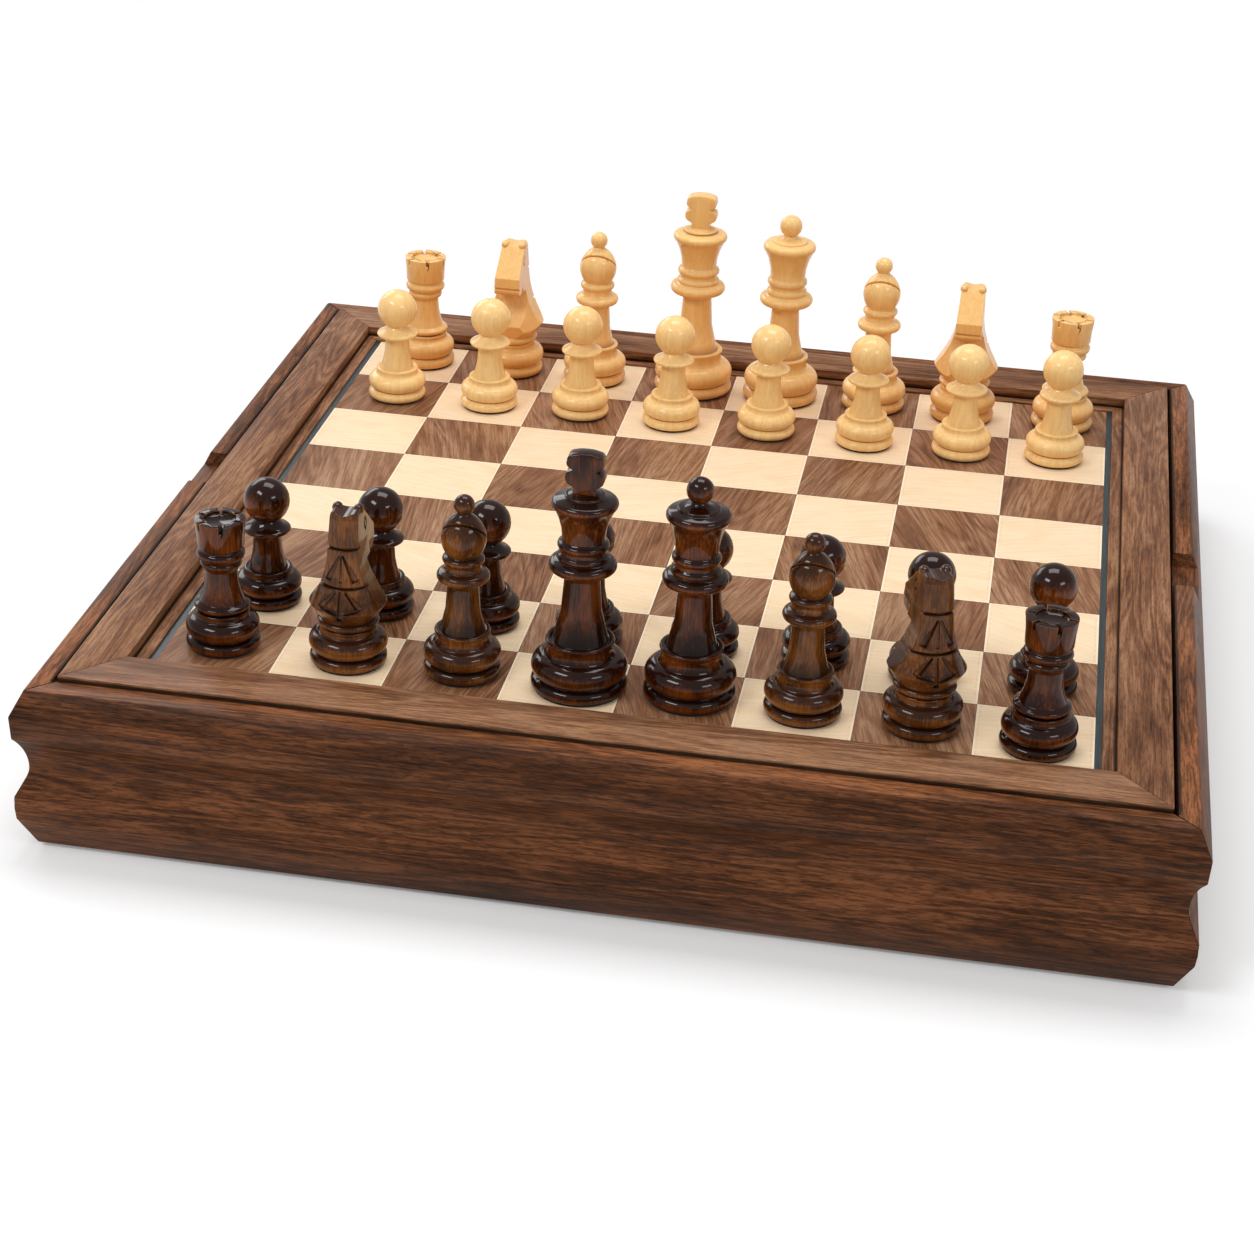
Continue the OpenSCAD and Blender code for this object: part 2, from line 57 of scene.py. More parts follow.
RAIL_LOW, RAIL_HIGH = span("frame_rail_right")
_, CROSS_RAIL_HIGH = span("frame_rail_front")
MOULDING_LOW, MOULDING_HIGH = span("front_moulding")
DRAWER_LOW, DRAWER_HIGH = span("right_drawer_front")
SIDES_LOW, SIDES_HIGH = span("right_drawer_sides")
BACK_LOW, BACK_HIGH = span("right_drawer_back")
TRAY_LOW, TRAY_HIGH = span("right_drawer_bottom")
LINING_LOW, LINING_HIGH = span("right_drawer_lining")
_, LEDGE_HIGH = span("ledge_strips")
FEET_LOW, FEET_HIGH = span("felt_feet")
_, SQUARES_HIGH = span("light_squares")

OPENING = Vector((RAIL_LOW.x, -CROSS_RAIL_HIGH.y))
FRAME = Vector((RAIL_HIGH.x, RAIL_HIGH.y))
CORE_TOP, FRAME_TOP = RAIL_LOW.z, RAIL_HIGH.z
FIELD_Z = SQUARES_HIGH.z
OUTER = MOULDING_HIGH.x
BOTTOM, TOP = MOULDING_LOW.z, MOULDING_HIGH.z
WALL_Y = -MOULDING_HIGH.y
FRONT_X = DRAWER_LOW.x
SQUARE = round(SQUARES_HIGH.x / 4, 1)
SIDE_T = LINING_LOW.x - BACK_LOW.x
LEDGE_W, LEDGE_GAP = 4.5, 0.07
NOTCH_L, NOTCH_DEPTH = 27, 5.2
FOOT_R = 9
EASED = 0.45
LINING_T, LINING_PLAY = 0.6, 0.6

# ---- Making pieces ----

TURN_STEPS = 64
# A cutting tool reaches this far, which is past the edge of any man.
BIG = 60


def choose(piece):
    """Makes a piece the only selected one."""
    bpy.ops.object.select_all(action="DESELECT")
    piece.select_set(True)
    bpy.context.view_layer.objects.active = piece


def settle(piece):
    """Makes the place, turn and scale of a piece part of its mesh."""
    choose(piece)
    bpy.ops.object.transform_apply()


def edit(piece):
    """Opens a piece in edit mode with all of it selected."""
    choose(piece)
    bpy.ops.object.mode_set(mode="EDIT")
    bpy.context.tool_settings.mesh_select_mode = (True, False, False)
    bpy.ops.mesh.select_all(action="SELECT")


def close():
    """Turns the faces outwards and leaves edit mode."""
    bpy.ops.mesh.select_all(action="SELECT")
    bpy.ops.mesh.normals_make_consistent(inside=False)
    bpy.ops.object.mode_set(mode="OBJECT")


def line(name, points):
    """A new piece that is a line through the points, left open in edit mode."""
    bpy.ops.mesh.primitive_plane_add(size=1)
    piece = bpy.context.object
    piece.name = name
    edit(piece)
    bpy.ops.mesh.merge(type="CENTER")
    bpy.ops.transform.translate(value=points[0])
    for here, there in zip(points, points[1:]):
        step = Vector(there) - Vector(here)
        bpy.ops.mesh.extrude_vertices_move(TRANSFORM_OT_translate={"value": step})
    bpy.ops.mesh.select_all(action="SELECT")
    return piece


def turn(name, outline):
    """A piece turned on the lathe from its (radius, height) outline."""
    piece = line(name, [(r, 0, z) for r, z in outline])
    bpy.ops.mesh.spin(steps=TURN_STEPS, angle=math.tau, center=(0, 0, 0), axis=(0, 0, 1))
    bpy.ops.mesh.select_all(action="SELECT")
    bpy.ops.mesh.remove_doubles(threshold=0.001)
    close()
    return piece


def drawn_out(name, outline, reach):
    """A solid drawn out from a closed outline along the vector reach."""
    piece = line(name, outline)
    bpy.ops.mesh.edge_face_add()
    bpy.ops.mesh.extrude_region_move(TRANSFORM_OT_translate={"value": reach})
    close()
    return piece


def box(name, low, high):
    """A block between two corners."""
    low, high = Vector(low), Vector(high)
    corners = [low, (high.x, low.y, low.z), (high.x, high.y, low.z), (low.x, high.y, low.z)]
    return drawn_out(name, corners, (0, 0, high.z - low.z))


def saw_off(piece, point, normal):
    """Cuts away what lies beyond a plane and closes the end."""
    edit(piece)
    bpy.ops.mesh.bisect(plane_co=point, plane_no=normal, use_fill=True, clear_outer=True)
    close()


def apply(piece, kind, **settings):
    """Applies a modifier to a piece."""
    modifier = piece.modifiers.new(kind.lower(), kind)
    for name, value in settings.items():
        setattr(modifier, name, value)
    choose(piece)
    bpy.ops.object.modifier_apply(modifier=modifier.name)


def carve(piece, tool, operation="DIFFERENCE"):
    """Cuts a piece with a tool, which is used up."""
    apply(piece, "BOOLEAN", operation=operation, object=tool, solver="EXACT")
    bpy.data.objects.remove(tool)


def join(*pieces):
    """Joins pieces into the first."""
    choose(pieces[0])
    for piece in pieces:
        piece.select_set(True)
    bpy.ops.object.join()
    return pieces[0]


def smooth(piece, limit):
    """Shades a piece smooth, but for the edges that are sharper than the limit in degrees."""
    choose(piece)
    bpy.ops.object.shade_smooth_by_angle(angle=math.radians(limit))


def ease(piece, width, arris=0, limit=33):
    """Eases the sharp edges; arris is the number of the finish that the eased edges get."""
    apply(
        piece, "BEVEL", width=width, segments=2, limit_method="ANGLE",
        angle_limit=math.radians(limit), material=arris, use_clamp_overlap=False,
    )
    smooth(piece, limit)


def hand_over(piece, body, finishes, nodes):
    """Gives a piece its finishes and its body, and brings it from millimetres to metres."""
    piece.data.name = piece.name
    piece.scale = (MM, MM, MM)
    settle(piece)
    for finish in finishes:
        piece.data.materials.append(finish)
    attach(piece, body)
    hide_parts(*nodes)


# ---- Finishes ----


def colour(code):
    """A shader colour from a written one such as 7f5740."""
    parts = [int(code[i : i + 2], 16) / 255 for i in (0, 2, 4)]
    return (*(p / 12.92 if p <= 0.04045 else ((p + 0.055) / 1.055) ** 2.4 for p in parts), 1.0)


class Value:
    """What a shader node gives. Arithmetic on it adds Math nodes."""

    def __init__(self, finish, socket):
        self.finish, self.socket = finish, socket

    def math(self, operation, *others):
        return self.finish.add("Math", {"operation": operation}, (self, *others))

    def __add__(self, other):
        return self.math("ADD", other)

    def __sub__(self, other):
        return self.math("SUBTRACT", other)

    def __rsub__(self, other):
        return self.finish.add("Math", {"operation": "SUBTRACT"}, (other, self))

    def __mul__(self, other):
        return self.math("MULTIPLY", other)

    __radd__ = __add__
    __rmul__ = __mul__

    def ramp(self, low, high):
        """0 at low and below, 1 at high and above, smooth between."""
        settings = {"interpolation_type": "SMOOTHSTEP"}
        return self.finish.add("MapRange", settings, {"Value": self, "From Min": low, "From Max": high})


class Finish:
    """A material, or the world's, that is built node by node."""

    def __init__(self, name, store="materials", place="Object"):
        self.material = getattr(bpy.data, store).new(name)
        self.material.use_nodes = True
        self.tree = self.material.node_tree
        self.tree.nodes.clear()
        self.place = self.add("TexCoord", output=place)

    def add(self, kind, settings=(), inputs=(), output=0):
        """Adds a node: its settings first, then the values or links of its sockets."""
        node = self.tree.nodes.new("ShaderNode" + kind)
        for name, value in dict(settings).items():
            setattr(node, name, value)
        pairs = inputs.items() if isinstance(inputs, dict) else enumerate(inputs)
        for key, value in pairs:
            if isinstance(value, Value):
                self.tree.links.new(value.socket, node.inputs[key])
            else:
                node.inputs[key].default_value = value
        return Value(self, node.outputs[output]) if node.outputs else None

    def split(self, vector):
        """The three parts of a vector."""
        first = self.add("SeparateXYZ", inputs=(vector,))
        return [Value(self, socket) for socket in first.socket.node.outputs]

    def noise(self, sizes, detail=2.0, roughness=0.5, distortion=0.0, at=None, **moves):
        """Soft noise from 0 to 1 with features of these sizes, in millimetres."""
        moves = {name.capitalize(): value for name, value in moves.items()}
        inputs = {"Vector": at or self.place, "Scale": [1 / (MM * s) for s in sizes], **moves}
        inputs = {"Vector": self.add("Mapping", inputs=inputs), "Scale": 1.0, "Detail": detail}
        inputs.update({"Roughness": roughness, "Distortion": distortion})
        return self.add("TexNoise", inputs=inputs)

    def mix(self, factor, first, second, blend="MIX"):
        """The first colour where factor is 0 and the second where it is 1; codes will do."""
        first, second = (colour(c) if isinstance(c, str) else c for c in (first, second))
        settings = {"data_type": "RGBA", "blend_type": blend, "clamp_factor": True}
        return self.add("Mix", settings, {0: factor, 6: first, 7: second}, output=2)

    def attribute(self, name):
        """A value that the mesh stores at each of its points."""
        return self.add("Attribute", {"attribute_name": name}, output="Fac")

    def glow(self, kind, strength):
        """Plain white light."""
        return self.add(kind, inputs={"Color": (1, 1, 1, 1), "Strength": strength})

    def shine(self, base, roughness, bump=None, lift=0.1, **constants):
        """The surface itself; lift is the height of the bump in millimetres."""
        inputs = {"Base Color": base, "Roughness": roughness, **constants}
        if bump is not None:
            relief = {"Height": bump, "Strength": 1.0, "Distance": lift * MM}
            inputs["Normal"] = self.add("Bump", inputs=relief)
        surface = self.add("BsdfPrincipled", inputs=inputs)
        self.add("OutputMaterial", inputs={"Surface": surface})
        return self.material


def along(grain, length, width):
    """Feature sizes that are long in the direction of the grain."""
    return [length if axis == grain else width for axis in "xyz"]


OILED = {"Specular IOR Level": 0.15}
SATIN = {"Specular IOR Level": 0.06, "Coat Weight": 0.55, "Coat IOR": 1.5, "Coat Roughness": 0.1}
GLOSS = {"Specular IOR Level": 0.03, "Coat Weight": 0.6, "Coat IOR": 1.5, "Coat Roughness": 0.07}
WORN_GLOSS = {"Specular IOR Level": 0.05, "Coat Weight": 0.55, "Coat IOR": 1.5, "Coat Roughness": 0.1}
# The dark, middle and light colour of each kind of walnut, and how dark its pores are.
WALNUT_TONES = {
    "frame": ("3d1f0d", "794e32", "a37756"),
    # The moulding's darker tones are painted shade, standing in for the lower light on its upright
    # faces.
    "moulding": ("240f03", "532e15", "7d4b2b"),
    "veneer": ("472915", "895c3f", "ae8767"),
}
PORE_DEPTHS = {"frame": 0.6, "moulding": 0.85, "veneer": 0.4}
# The colour of the painted shade in the seams, and of the painted sheen on the moulding tops.
SEAM_SHADE, TOP_SHEEN = "140a04", "a3a8ae"


def walnut_pattern(finish, at, grain, kind, pore_depth, contrast=1.0):
    """The colour and the relief of oiled walnut with its grain along one axis."""
    dark, middle, light = WALNUT_TONES[kind]
    broad = finish.noise(along(grain, 130, 12), 2.0, 0.5, 0.7, at=at)
    rings = (broad * 58).math("SINE") * 0.5 + 0.5
    drift = finish.noise(along(grain, 110, 20), 3.0, at=at, location=(7, 3, 1))
    fibre = finish.noise(along(grain, 22, 0.7), 4.0, 0.7, at=at)
    flecks = finish.noise(along(grain, 7, 0.75), 1.0, at=at, location=(3, 9, 4))
    ticks = finish.noise(along(grain, 4, 0.5), 1.0, at=at, location=(6, 2, 5))
    pores = flecks.ramp(0.55, 0.61).math("MAXIMUM", ticks.ramp(0.55, 0.62) * 0.9)
    depth = rings * (0.3 * contrast) + drift.ramp(0.3, 0.7) * (0.4 * contrast)
    depth = depth + fibre.ramp(0.3, 0.7) * 0.4 + 0.14
    tone = finish.mix(depth.ramp(0.05, 0.65), dark, middle)
    tone = finish.mix(depth.ramp(0.5, 1.1), tone, light)
    tone = finish.mix(pores * pore_depth, tone, finish.mix(0.55, tone, dark, "MULTIPLY"))
    return tone, fibre - pores * 0.8


def far_out(finish, half_x, half_y):
    """How far a point lies outside a rectangle round the middle, in millimetres."""
    across, up, _ = finish.split(finish.place)
    over_x = across.math("ABSOLUTE") * (1 / MM) - half_x
    over_y = up.math("ABSOLUTE") * (1 / MM) - half_y
    return over_x.math("MAXIMUM", over_y)


def height_of(finish):
    """The height of a point above the table, in millimetres."""
    return finish.split(finish.place)[2] * (1 / MM)


def normal(finish, axis=2):
    """1 on a face that looks along the axis, or up, and -1 on one that looks the other way."""
    return finish.split(finish.add("NewGeometry", output="Normal"))[axis]


def seam_shade(finish, kind):
    """Painted shade where the lengths meet: a dark line in the seams and gaps between them, and along
    the foot of the frame's inner walls.
    """
    height = height_of(finish)
    if kind == "frame":
        # Painted shade: a dark band at the foot of the rails' outer faces, in the seam above the
        # mouldings.
        outside = far_out(finish, FRAME.x, FRAME.y).ramp(-0.5, -0.1)
        seam = (1 - height.ramp(TOP + 0.5, TOP + 1.1)) * outside
        # Painted shade along the foot of the inner walls, at the back of the ledges.
        corner = 1 - height.ramp(LEDGE_HIGH.z + 0.3, LEDGE_HIGH.z + 1.6)
        past = far_out(finish, OPENING.x, OPENING.y)
        return seam.math("MAXIMUM", corner * (1 - past.ramp(0.2, 0.4)) * past.ramp(-1.1, -0.3))
    # Painted shade: a dark line where the top of a moulding meets the frame.
    joint = 1 - far_out(finish, FRONT_X, WALL_Y).ramp(0.6, 1.3)
    return joint * height.ramp(TOP - 1, TOP - 0.3)


def walnut(kind, grain):
    """Oiled walnut for a length of wood. The flat top of a moulding is lightened with a painted sheen,
    and the seams are darkened with painted shade.
    """
    finish = Finish(f"walnut_{kind}_{grain}")
    tone, relief = walnut_pattern(finish, finish.place, grain, kind, PORE_DEPTHS[kind])
    if kind == "moulding":
        # Painted sheen: the flat top of a moulding, where it faces up, is lightened with a grey-blue
        # dodge.
        top = normal(finish).ramp(0.6, 0.9) * height_of(finish).ramp(TOP - 2, TOP - 1)
        tone = finish.mix(top, tone, TOP_SHEEN, "DODGE")
    # Painted shade darkens the seams and gaps between the lengths.
    tone = finish.mix(seam_shade(finish, kind) * 0.85, tone, SEAM_SHADE)
    return finish.shine(tone, relief * 0.1 + 0.42, relief, 0.05, **OILED)


def worn_arris(kind, grain):
    """The eased edge of a walnut length, where handling has rubbed the stain thin."""
    finish = Finish(f"{kind}_arris_{grain}")
    tone, _ = walnut_pattern(finish, finish.place, grain, kind, 0.9)
    rubbed = finish.noise((9, 9, 9), 3.0).ramp(0.35, 0.65)
    worn = finish.mix(0.7, tone, "b98052")
    tone = finish.mix(rubbed * 0.7 + 0.25, tone, worn)
    # Painted shade darkens the seams and gaps between the lengths.
    tone = finish.mix(seam_shade(finish, kind) * 0.85, tone, SEAM_SHADE)
    return finish.shine(tone, 0.4, **OILED)


def on_board(finish, lean):
    """The place in a square, 0 to 1 both ways, a random number for the square, and the place
    in the leaf, which is moved and leant a little differently for each square."""
    x, y, _ = finish.split(finish.place)
    across = x * (1 / (SQUARE * MM)) + 4.0
    up = y * (1 / (SQUARE * MM)) + 4.0
    cell = finish.add("CombineXYZ", inputs=(across.math("FLOOR"), up.math("FLOOR"), 0.5))
    chance = finish.add("TexWhiteNoise", {"noise_dimensions": "3D"}, {"Vector": cell})
    moves = (cell, (0.37, 0.23, 0.0), finish.place)
    moved = finish.add("VectorMath", {"operation": "MULTIPLY_ADD"}, moves)
    inputs = {"Vector": moved, "Angle": (chance - 0.5) * (2 * math.radians(lean))}
    at = finish.add("VectorRotate", {"rotation_type": "Z_AXIS"}, inputs)
    return across.math("FRACT"), up.math("FRACT"), chance, at


def edge_distance(across, up):
    """How far a point is from the nearest edge of its square, in millimetres."""
    near_x = across.math("MINIMUM", 1 - across)
    near_y = up.math("MINIMUM", 1 - up)
    return near_x.math("MINIMUM", near_y) * SQUARE


def walnut_squares():
    """Walnut veneer, each square cut from another part of the leaf."""
    finish = Finish("walnut_squares")
    _, _, chance, at = on_board(finish, 24)
    tone, relief = walnut_pattern(finish, at, "y", "veneer", PORE_DEPTHS["veneer"], 0.9)
    tone = finish.mix(chance * 0.5, tone, finish.mix(0.35, tone, "5a3a28"))
    return finish.shine(tone, relief * 0.08 + 0.38, relief, 0.03, **OILED)


def maple_squares():
    """Maple veneer: nearly plain, with a faint curl, and a scribed line inside the edge."""
    finish = Finish("maple_squares")
    across, up, _, at = on_board(finish, 30)
    grain = finish.noise(along("x", 24, 1.3), 3.0, 0.6, at=at)
    cloud = finish.noise((13, 9, 13), 2.0, at=at)
    tone = finish.mix(grain.ramp(0.25, 0.8), "ebcda8", "f0dbbb")
    tone = finish.mix(cloud.ramp(0.45, 0.75) * 0.35, tone, "e3c093")
    marks = finish.noise((2.2, 1.0, 2), 1.0, at=at, location=(5, 2, 8))
    streaks = finish.noise(along("x", 9, 0.9), 1.0, at=at, location=(1, 6, 2))
    tone = finish.mix(marks.ramp(0.72, 0.78) * 0.4, tone, "d9a765")
    tone = finish.mix(streaks.ramp(0.7, 0.8) * 0.3, tone, "e6ca9b")
    edge = edge_distance(across, up)
    tone = finish.mix((1 - edge.ramp(0.3, 0.75)) * 0.6, tone, "fbeed6")
    scribed = edge.ramp(0.8, 1.05) * (1 - edge.ramp(1.15, 1.45))
    dashes = finish.noise((1.4, 1.4, 1.4), 0.0).ramp(0.42, 0.6)
    tone = finish.mix(scribed * dashes * 0.4, tone, "d3a86f")
    return finish.shine(tone, grain * 0.06 + 0.34, grain, 0.012, **OILED)


def slate_line():
    """Dyed stringing."""
    finish = Finish("slate_line")
    grain = finish.noise(along("y", 14, 0.5), 2.0)
    tone = finish.mix(grain.ramp(0.3, 0.7), "192123", "313c3f")
    return finish.shine(tone, grain * 0.1 + 0.32, grain, 0.02)


PLY_T = 1.25


def plywood(name, grain, stack, stain=0.0):
    """Birch plywood; its plies lie across the axis stack and show on its edges under any stain."""
    finish = Finish(name)
    leaf = finish.noise(along(grain, 60, 2.4), 3.0, 0.6)
    tone = finish.mix(leaf.ramp(0.3, 0.7), "c89f6c", "e0c091")
    through = "xyz".index(stack)
    edges = 1 - normal(finish, through).math("ABSOLUTE").ramp(0.4, 0.7)
    depth = finish.split(finish.place)[through]
    plies = (depth * (math.pi / (PLY_T * MM))).math("SINE").ramp(-0.3, 0.3)
    fuzz = finish.noise((0.7, 0.7, 0.7), 2.0)
    ply = finish.mix(plies, "8d6338", "d8b585")
    ply = finish.mix(fuzz.ramp(0.4, 0.7) * 0.4, ply, "a97c4c")
    ply = finish.mix(stain, ply, "3a2212")
    return finish.shine(finish.mix(edges, tone, ply), leaf * 0.1 + 0.55, leaf, 0.04)


def beech(grain):
    """Waxed beech with the short darker flecks of its rays."""
    finish = Finish("drawer_beech_" + grain)
    grain_noise = finish.noise(along(grain, 50, 1.6), 3.0, 0.6)
    flecks = finish.noise(along(grain, 2.6, 0.45), 0.0, location=(4, 4, 4))
    tone = finish.mix(grain_noise.ramp(0.25, 0.75), "b98457", "d9ab7c")
    tone = finish.mix(flecks.ramp(0.62, 0.72) * 0.55, tone, "8f5f39")
    return finish.shine(tone, grain_noise * 0.1 + 0.45, grain_noise, 0.04)


def felt():
    """Dark wool felt: matted fibres and a soft bloom of lint."""
    finish = Finish("wool_felt")
    fibres = finish.noise((0.35, 0.35, 0.35), 4.0, 0.7, 1.5)
    lint = finish.noise((6, 6, 6), 3.0)
    tone = finish.mix(fibres.ramp(0.3, 0.7), "141416", "2c2c30")
    tone = finish.mix(lint.ramp(0.55, 0.75) * 0.3, tone, "3a3a3e")
    return finish.shine(tone, 0.95, fibres, 0.15, **{"Sheen Weight": 0.3, "Specular IOR Level": 0.2})


def zinc():
    """Bright zinc plate with fine turned scratches."""
    finish = Finish("zinc_screws")
    scratches = finish.noise((0.25, 2.5, 0.6), 3.0, 0.6)
    tone = finish.mix(scratches, "9c9c98", "c8c8c4")
    return finish.shine(tone, scratches * 0.2 + 0.25, scratches, 0.01, **{"Metallic": 1.0})


def turned_grain(finish):
    """Growth rings, fibres and pores of a turned man, with the grain running upright."""
    rings = finish.noise((3.6, 3.6, 60), 2.0, 0.5, 0.3, rotation=(0.05, 0.04, 0.6))
    rings = (rings * 26).math("SINE") * 0.5 + 0.5
    fibre = finish.noise((0.6, 0.6, 9), 3.0, 0.6)
    pores = finish.noise((0.3, 0.3, 2.2), 1.0, location=(4, 7, 2)).ramp(0.64, 0.74)
    return rings, fibre, pores


def boxwood():
    """Golden boxwood under a satin lacquer, paler on the edges. Faces that look up are lightened with
    painted light, and the grooves are a warmer, darker brown that is partly painted shade and partly
    stain.
    """
    finish = Finish("boxwood_lacquer")
    rings, fibre, pores = turned_grain(finish)
    tone = finish.attribute("tone")
    base = finish.mix(tone, "e19f50", "ffd894")
    # Painted light: faces that look up are lightened towards pale gold.
    base = finish.mix(normal(finish).ramp(-0.4, 0.8) * 0.45, base, "ffdc9a")
    base = finish.mix(rings * 0.16, base, "c98236")
    base = finish.mix(fibre.ramp(0.35, 0.75) * 0.22, base, "fbcf8b")
    base = finish.mix(pores * 0.3, base, "ab6a26")
    # Darker brown in the hollows: partly painted shade, partly stain gathered in the grooves.
    base = finish.mix(finish.attribute("hollow").ramp(0.55, 1.0) * 0.7, base, "9a5010")
    base = finish.mix(finish.attribute("ridge") * 0.35, base, "ffe2a8")
    return finish.shine(base, fibre * 0.08 + 0.36, fibre, 0.012, **SATIN)


def stained(name, deep, thin_stain, lacquer):
    """Dark stained hardwood under lacquer; the stain is thin on edges and in patches. Faces that look up
    are darkened with painted shade, and the hollows are near black, partly painted shade and partly
    stain.
    """
    finish = Finish(name)
    rings, fibre, pores = turned_grain(finish)
    patches = finish.noise((8, 8, 16), 2.0, 0.5).ramp(0.3, 0.7)
    wear_and_shade = patches * 0.4 + fibre.ramp(0.35, 0.75) * 0.35 + finish.attribute("tone") * 0.35
    # Painted shade: faces that look up are pushed towards the deep colour, and side and under faces
    # towards the amber.
    wear_and_shade = wear_and_shade - normal(finish).ramp(-0.1, 0.9) * 0.7
    base = finish.mix(wear_and_shade.ramp(-0.1, 1.0), deep, thin_stain)
    base = finish.mix(rings * 0.25, base, finish.mix(0.5, base, deep, "MULTIPLY"))
    base = finish.mix(pores * 0.35, base, "0d0502")
    # Near black in the hollows: partly painted shade, partly stain gathered there.
    base = finish.mix(finish.attribute("hollow") * 0.85, base, "0a0402")
    base = finish.mix(finish.attribute("ridge") * 0.6, base, "a4682c")
    return finish.shine(base, fibre * 0.1 + 0.3, fibre, 0.012, **lacquer)


# ---- The box ----


def arc(centre, radius, start, end, steps):
    """Points along an arc, with the angles in degrees."""
    angles = [math.radians(start + (end - start) * i / steps) for i in range(steps + 1)]
    return [(centre[0] + radius * math.cos(a), centre[1] + radius * math.sin(a)) for a in angles]


def moulding_section(thickness):
    """The coved section of a moulding: outwards from its inner face, and up."""
    arris, cove_depth, cove_z = 0.35, 4.25, 28.9
    upper_r, lower_r, slant = 19, 9, 28
    belly_z, foot_in, head_in, head_h = 11.0, 5.3, 4.3, 8.5
    height = TOP - BOTTOM
    deepest = thickness - cove_depth
    upper_turn = math.degrees(math.acos(1 - (cove_depth - arris) / upper_r))
    tilt = math.radians(slant)
    slant_x = deepest + lower_r * (1 - math.cos(tilt))
    slant_z = cove_z - lower_r * math.sin(tilt)
    belly_top = slant_z - (thickness - arris / 3 - slant_x) / math.tan(tilt)
    belly = [
        (thickness - arris, belly_z),
        (thickness, (belly_z + belly_top) / 2),
        (thickness - arris / 3, belly_top),
    ]
    lower = arc((deepest + lower_r, cove_z), lower_r, 180 + slant, 180, 6)
    upper = arc((deepest + upper_r, cove_z), upper_r, 180 - upper_turn / 8, 180 - upper_turn, 7)
    base = [(0, 0), (thickness - foot_in, 0)]
    head = [(thickness, height - head_h), (thickness - head_in, height), (0, height)]
    return base + belly + lower + upper + head


def cross_moulding(name, side):
    """The front (side -1) or back (side 1) moulding, mitred at both ends."""
    thickness = OUTER - WALL_Y
    section = moulding_section(thickness)
    points = [(-OUTER, side * (WALL_Y + out), BOTTOM + up) for out, up in section]
    piece = drawn_out(name, points, (2 * OUTER, 0, 0))
    for end in (-1, 1):
        saw_off(piece, (end * OUTER, side * OUTER, 0), (end, -side, 0))
    ease(piece, EASED, arris=1)
    return piece


def drawer_front(name, side):
    """A drawer's moulded front (side -1 left, 1 right) with its finger notch and its groove."""
    section = moulding_section(OUTER - FRONT_X)
    end_y = DRAWER_HIGH.y
    points = [(side * (FRONT_X + out), -end_y, BOTTOM + up) for out, up in section]
    piece = drawn_out(name, points, (0, 2 * end_y, 0))
    for end in (-1, 1):
        saw_off(piece, (side * OUTER, end * end_y, 0), (-side, end, 0))
    near, far = sorted((side * (FRONT_X - 1), side * (OUTER + 1)))
    carve(piece, box("notch", (near, -NOTCH_L / 2, TOP - NOTCH_DEPTH), (far, NOTCH_L / 2, TOP + 2)))
    near, far = sorted((side * (FRONT_X - 1), side * TRAY_HIGH.x))
    carve(piece, box("groove", (near, TRAY_LOW.y, TRAY_LOW.z), (far, TRAY_HIGH.y, TRAY_HIGH.z)))
    ease(piece, EASED, arris=1)
    return piece


def mitred_length(name, inner, outer, low, high, side, grain, gap=0.0):
    """A mitred length of a frame between two half sizes; its ends may keep a gap."""
    ends = [(outer, -1), (outer, 1), (inner, 1), (inner, -1)]
    if grain == "x":
        corners = [(end * (half.x - gap), side * half.y, low) for half, end in ends]
    else:
        corners = [(side * half.x, end * (half.y - gap), low) for half, end in ends]
    return drawn_out(name, corners, (0, 0, high - low))


# The name, the side and the grain of the four lengths of a mitred frame.
LENGTHS = (("front", -1, "x"), ("back", 1, "x"), ("left", -1, "y"), ("right", 1, "y"))


def rails(walnuts):
    """The four rails of the frame round the field."""
    for name, side, grain in LENGTHS:
        piece = mitred_length("rail_" + name, OPENING, FRAME, CORE_TOP, FRAME_TOP, side, grain)
        ease(piece, EASED, arris=1)
        hand_over(piece, "case", walnuts[grain], ["frame_rail_" + name])


def ledges(walnuts):
    """The narrow strips that hold the field down, in four mitred lengths."""
    inner = OPENING - Vector((LEDGE_W, LEDGE_W))
    top = LEDGE_HIGH.z
    for name, side, grain in LENGTHS:
        piece = mitred_length("ledge_" + name, inner, OPENING, CORE_TOP, top, side, grain, LEDGE_GAP)
        ease(piece, 0.25, arris=1)
        hand_over(piece, "case", walnuts[grain], ["ledge_strips"])


def grooved_section(height):
    """The section of a drawer's side or back, outwards and up, grooved for its bottom."""
    groove = TRAY_HIGH.y - LINING_HIGH.y
    low, high = TRAY_LOW.z - SIDES_LOW.z, TRAY_HIGH.z - SIDES_LOW.z
    board = [(0, 0), (SIDE_T, 0), (SIDE_T, height), (0, height)]
    return board + [(0, high), (groove, high), (groove, low), (0, low)]


def drawer_box(side, drawer, wood):
    """The sides and the back of a drawer."""
    section = grooved_section(SIDES_HIGH.z - SIDES_LOW.z)
    reach = (side * (SIDES_HIGH.x - SIDES_LOW.x), 0, 0)
    start = side * SIDES_LOW.x
    for end, label in ((-1, "near"), (1, "far")):
        points = [(start, end * (LINING_HIGH.y + out), SIDES_LOW.z + up) for out, up in section]
        piece = drawn_out(f"{drawer}_side_{label}", points, reach)
        ease(piece, 0.6)
        hand_over(piece, drawer, [wood["x"]], [f"{drawer}_sides"])
    section = grooved_section(BACK_HIGH.z - BACK_LOW.z)
    points = [(side * (BACK_HIGH.x - out), BACK_LOW.y, BACK_LOW.z + up) for out, up in section]
    piece = drawn_out(f"{drawer}_back_board", points, (0, BACK_HIGH.y - BACK_LOW.y, 0))
    ease(piece, 0.6)
    hand_over(piece, drawer, [wood["y"]], [f"{drawer}_back"])


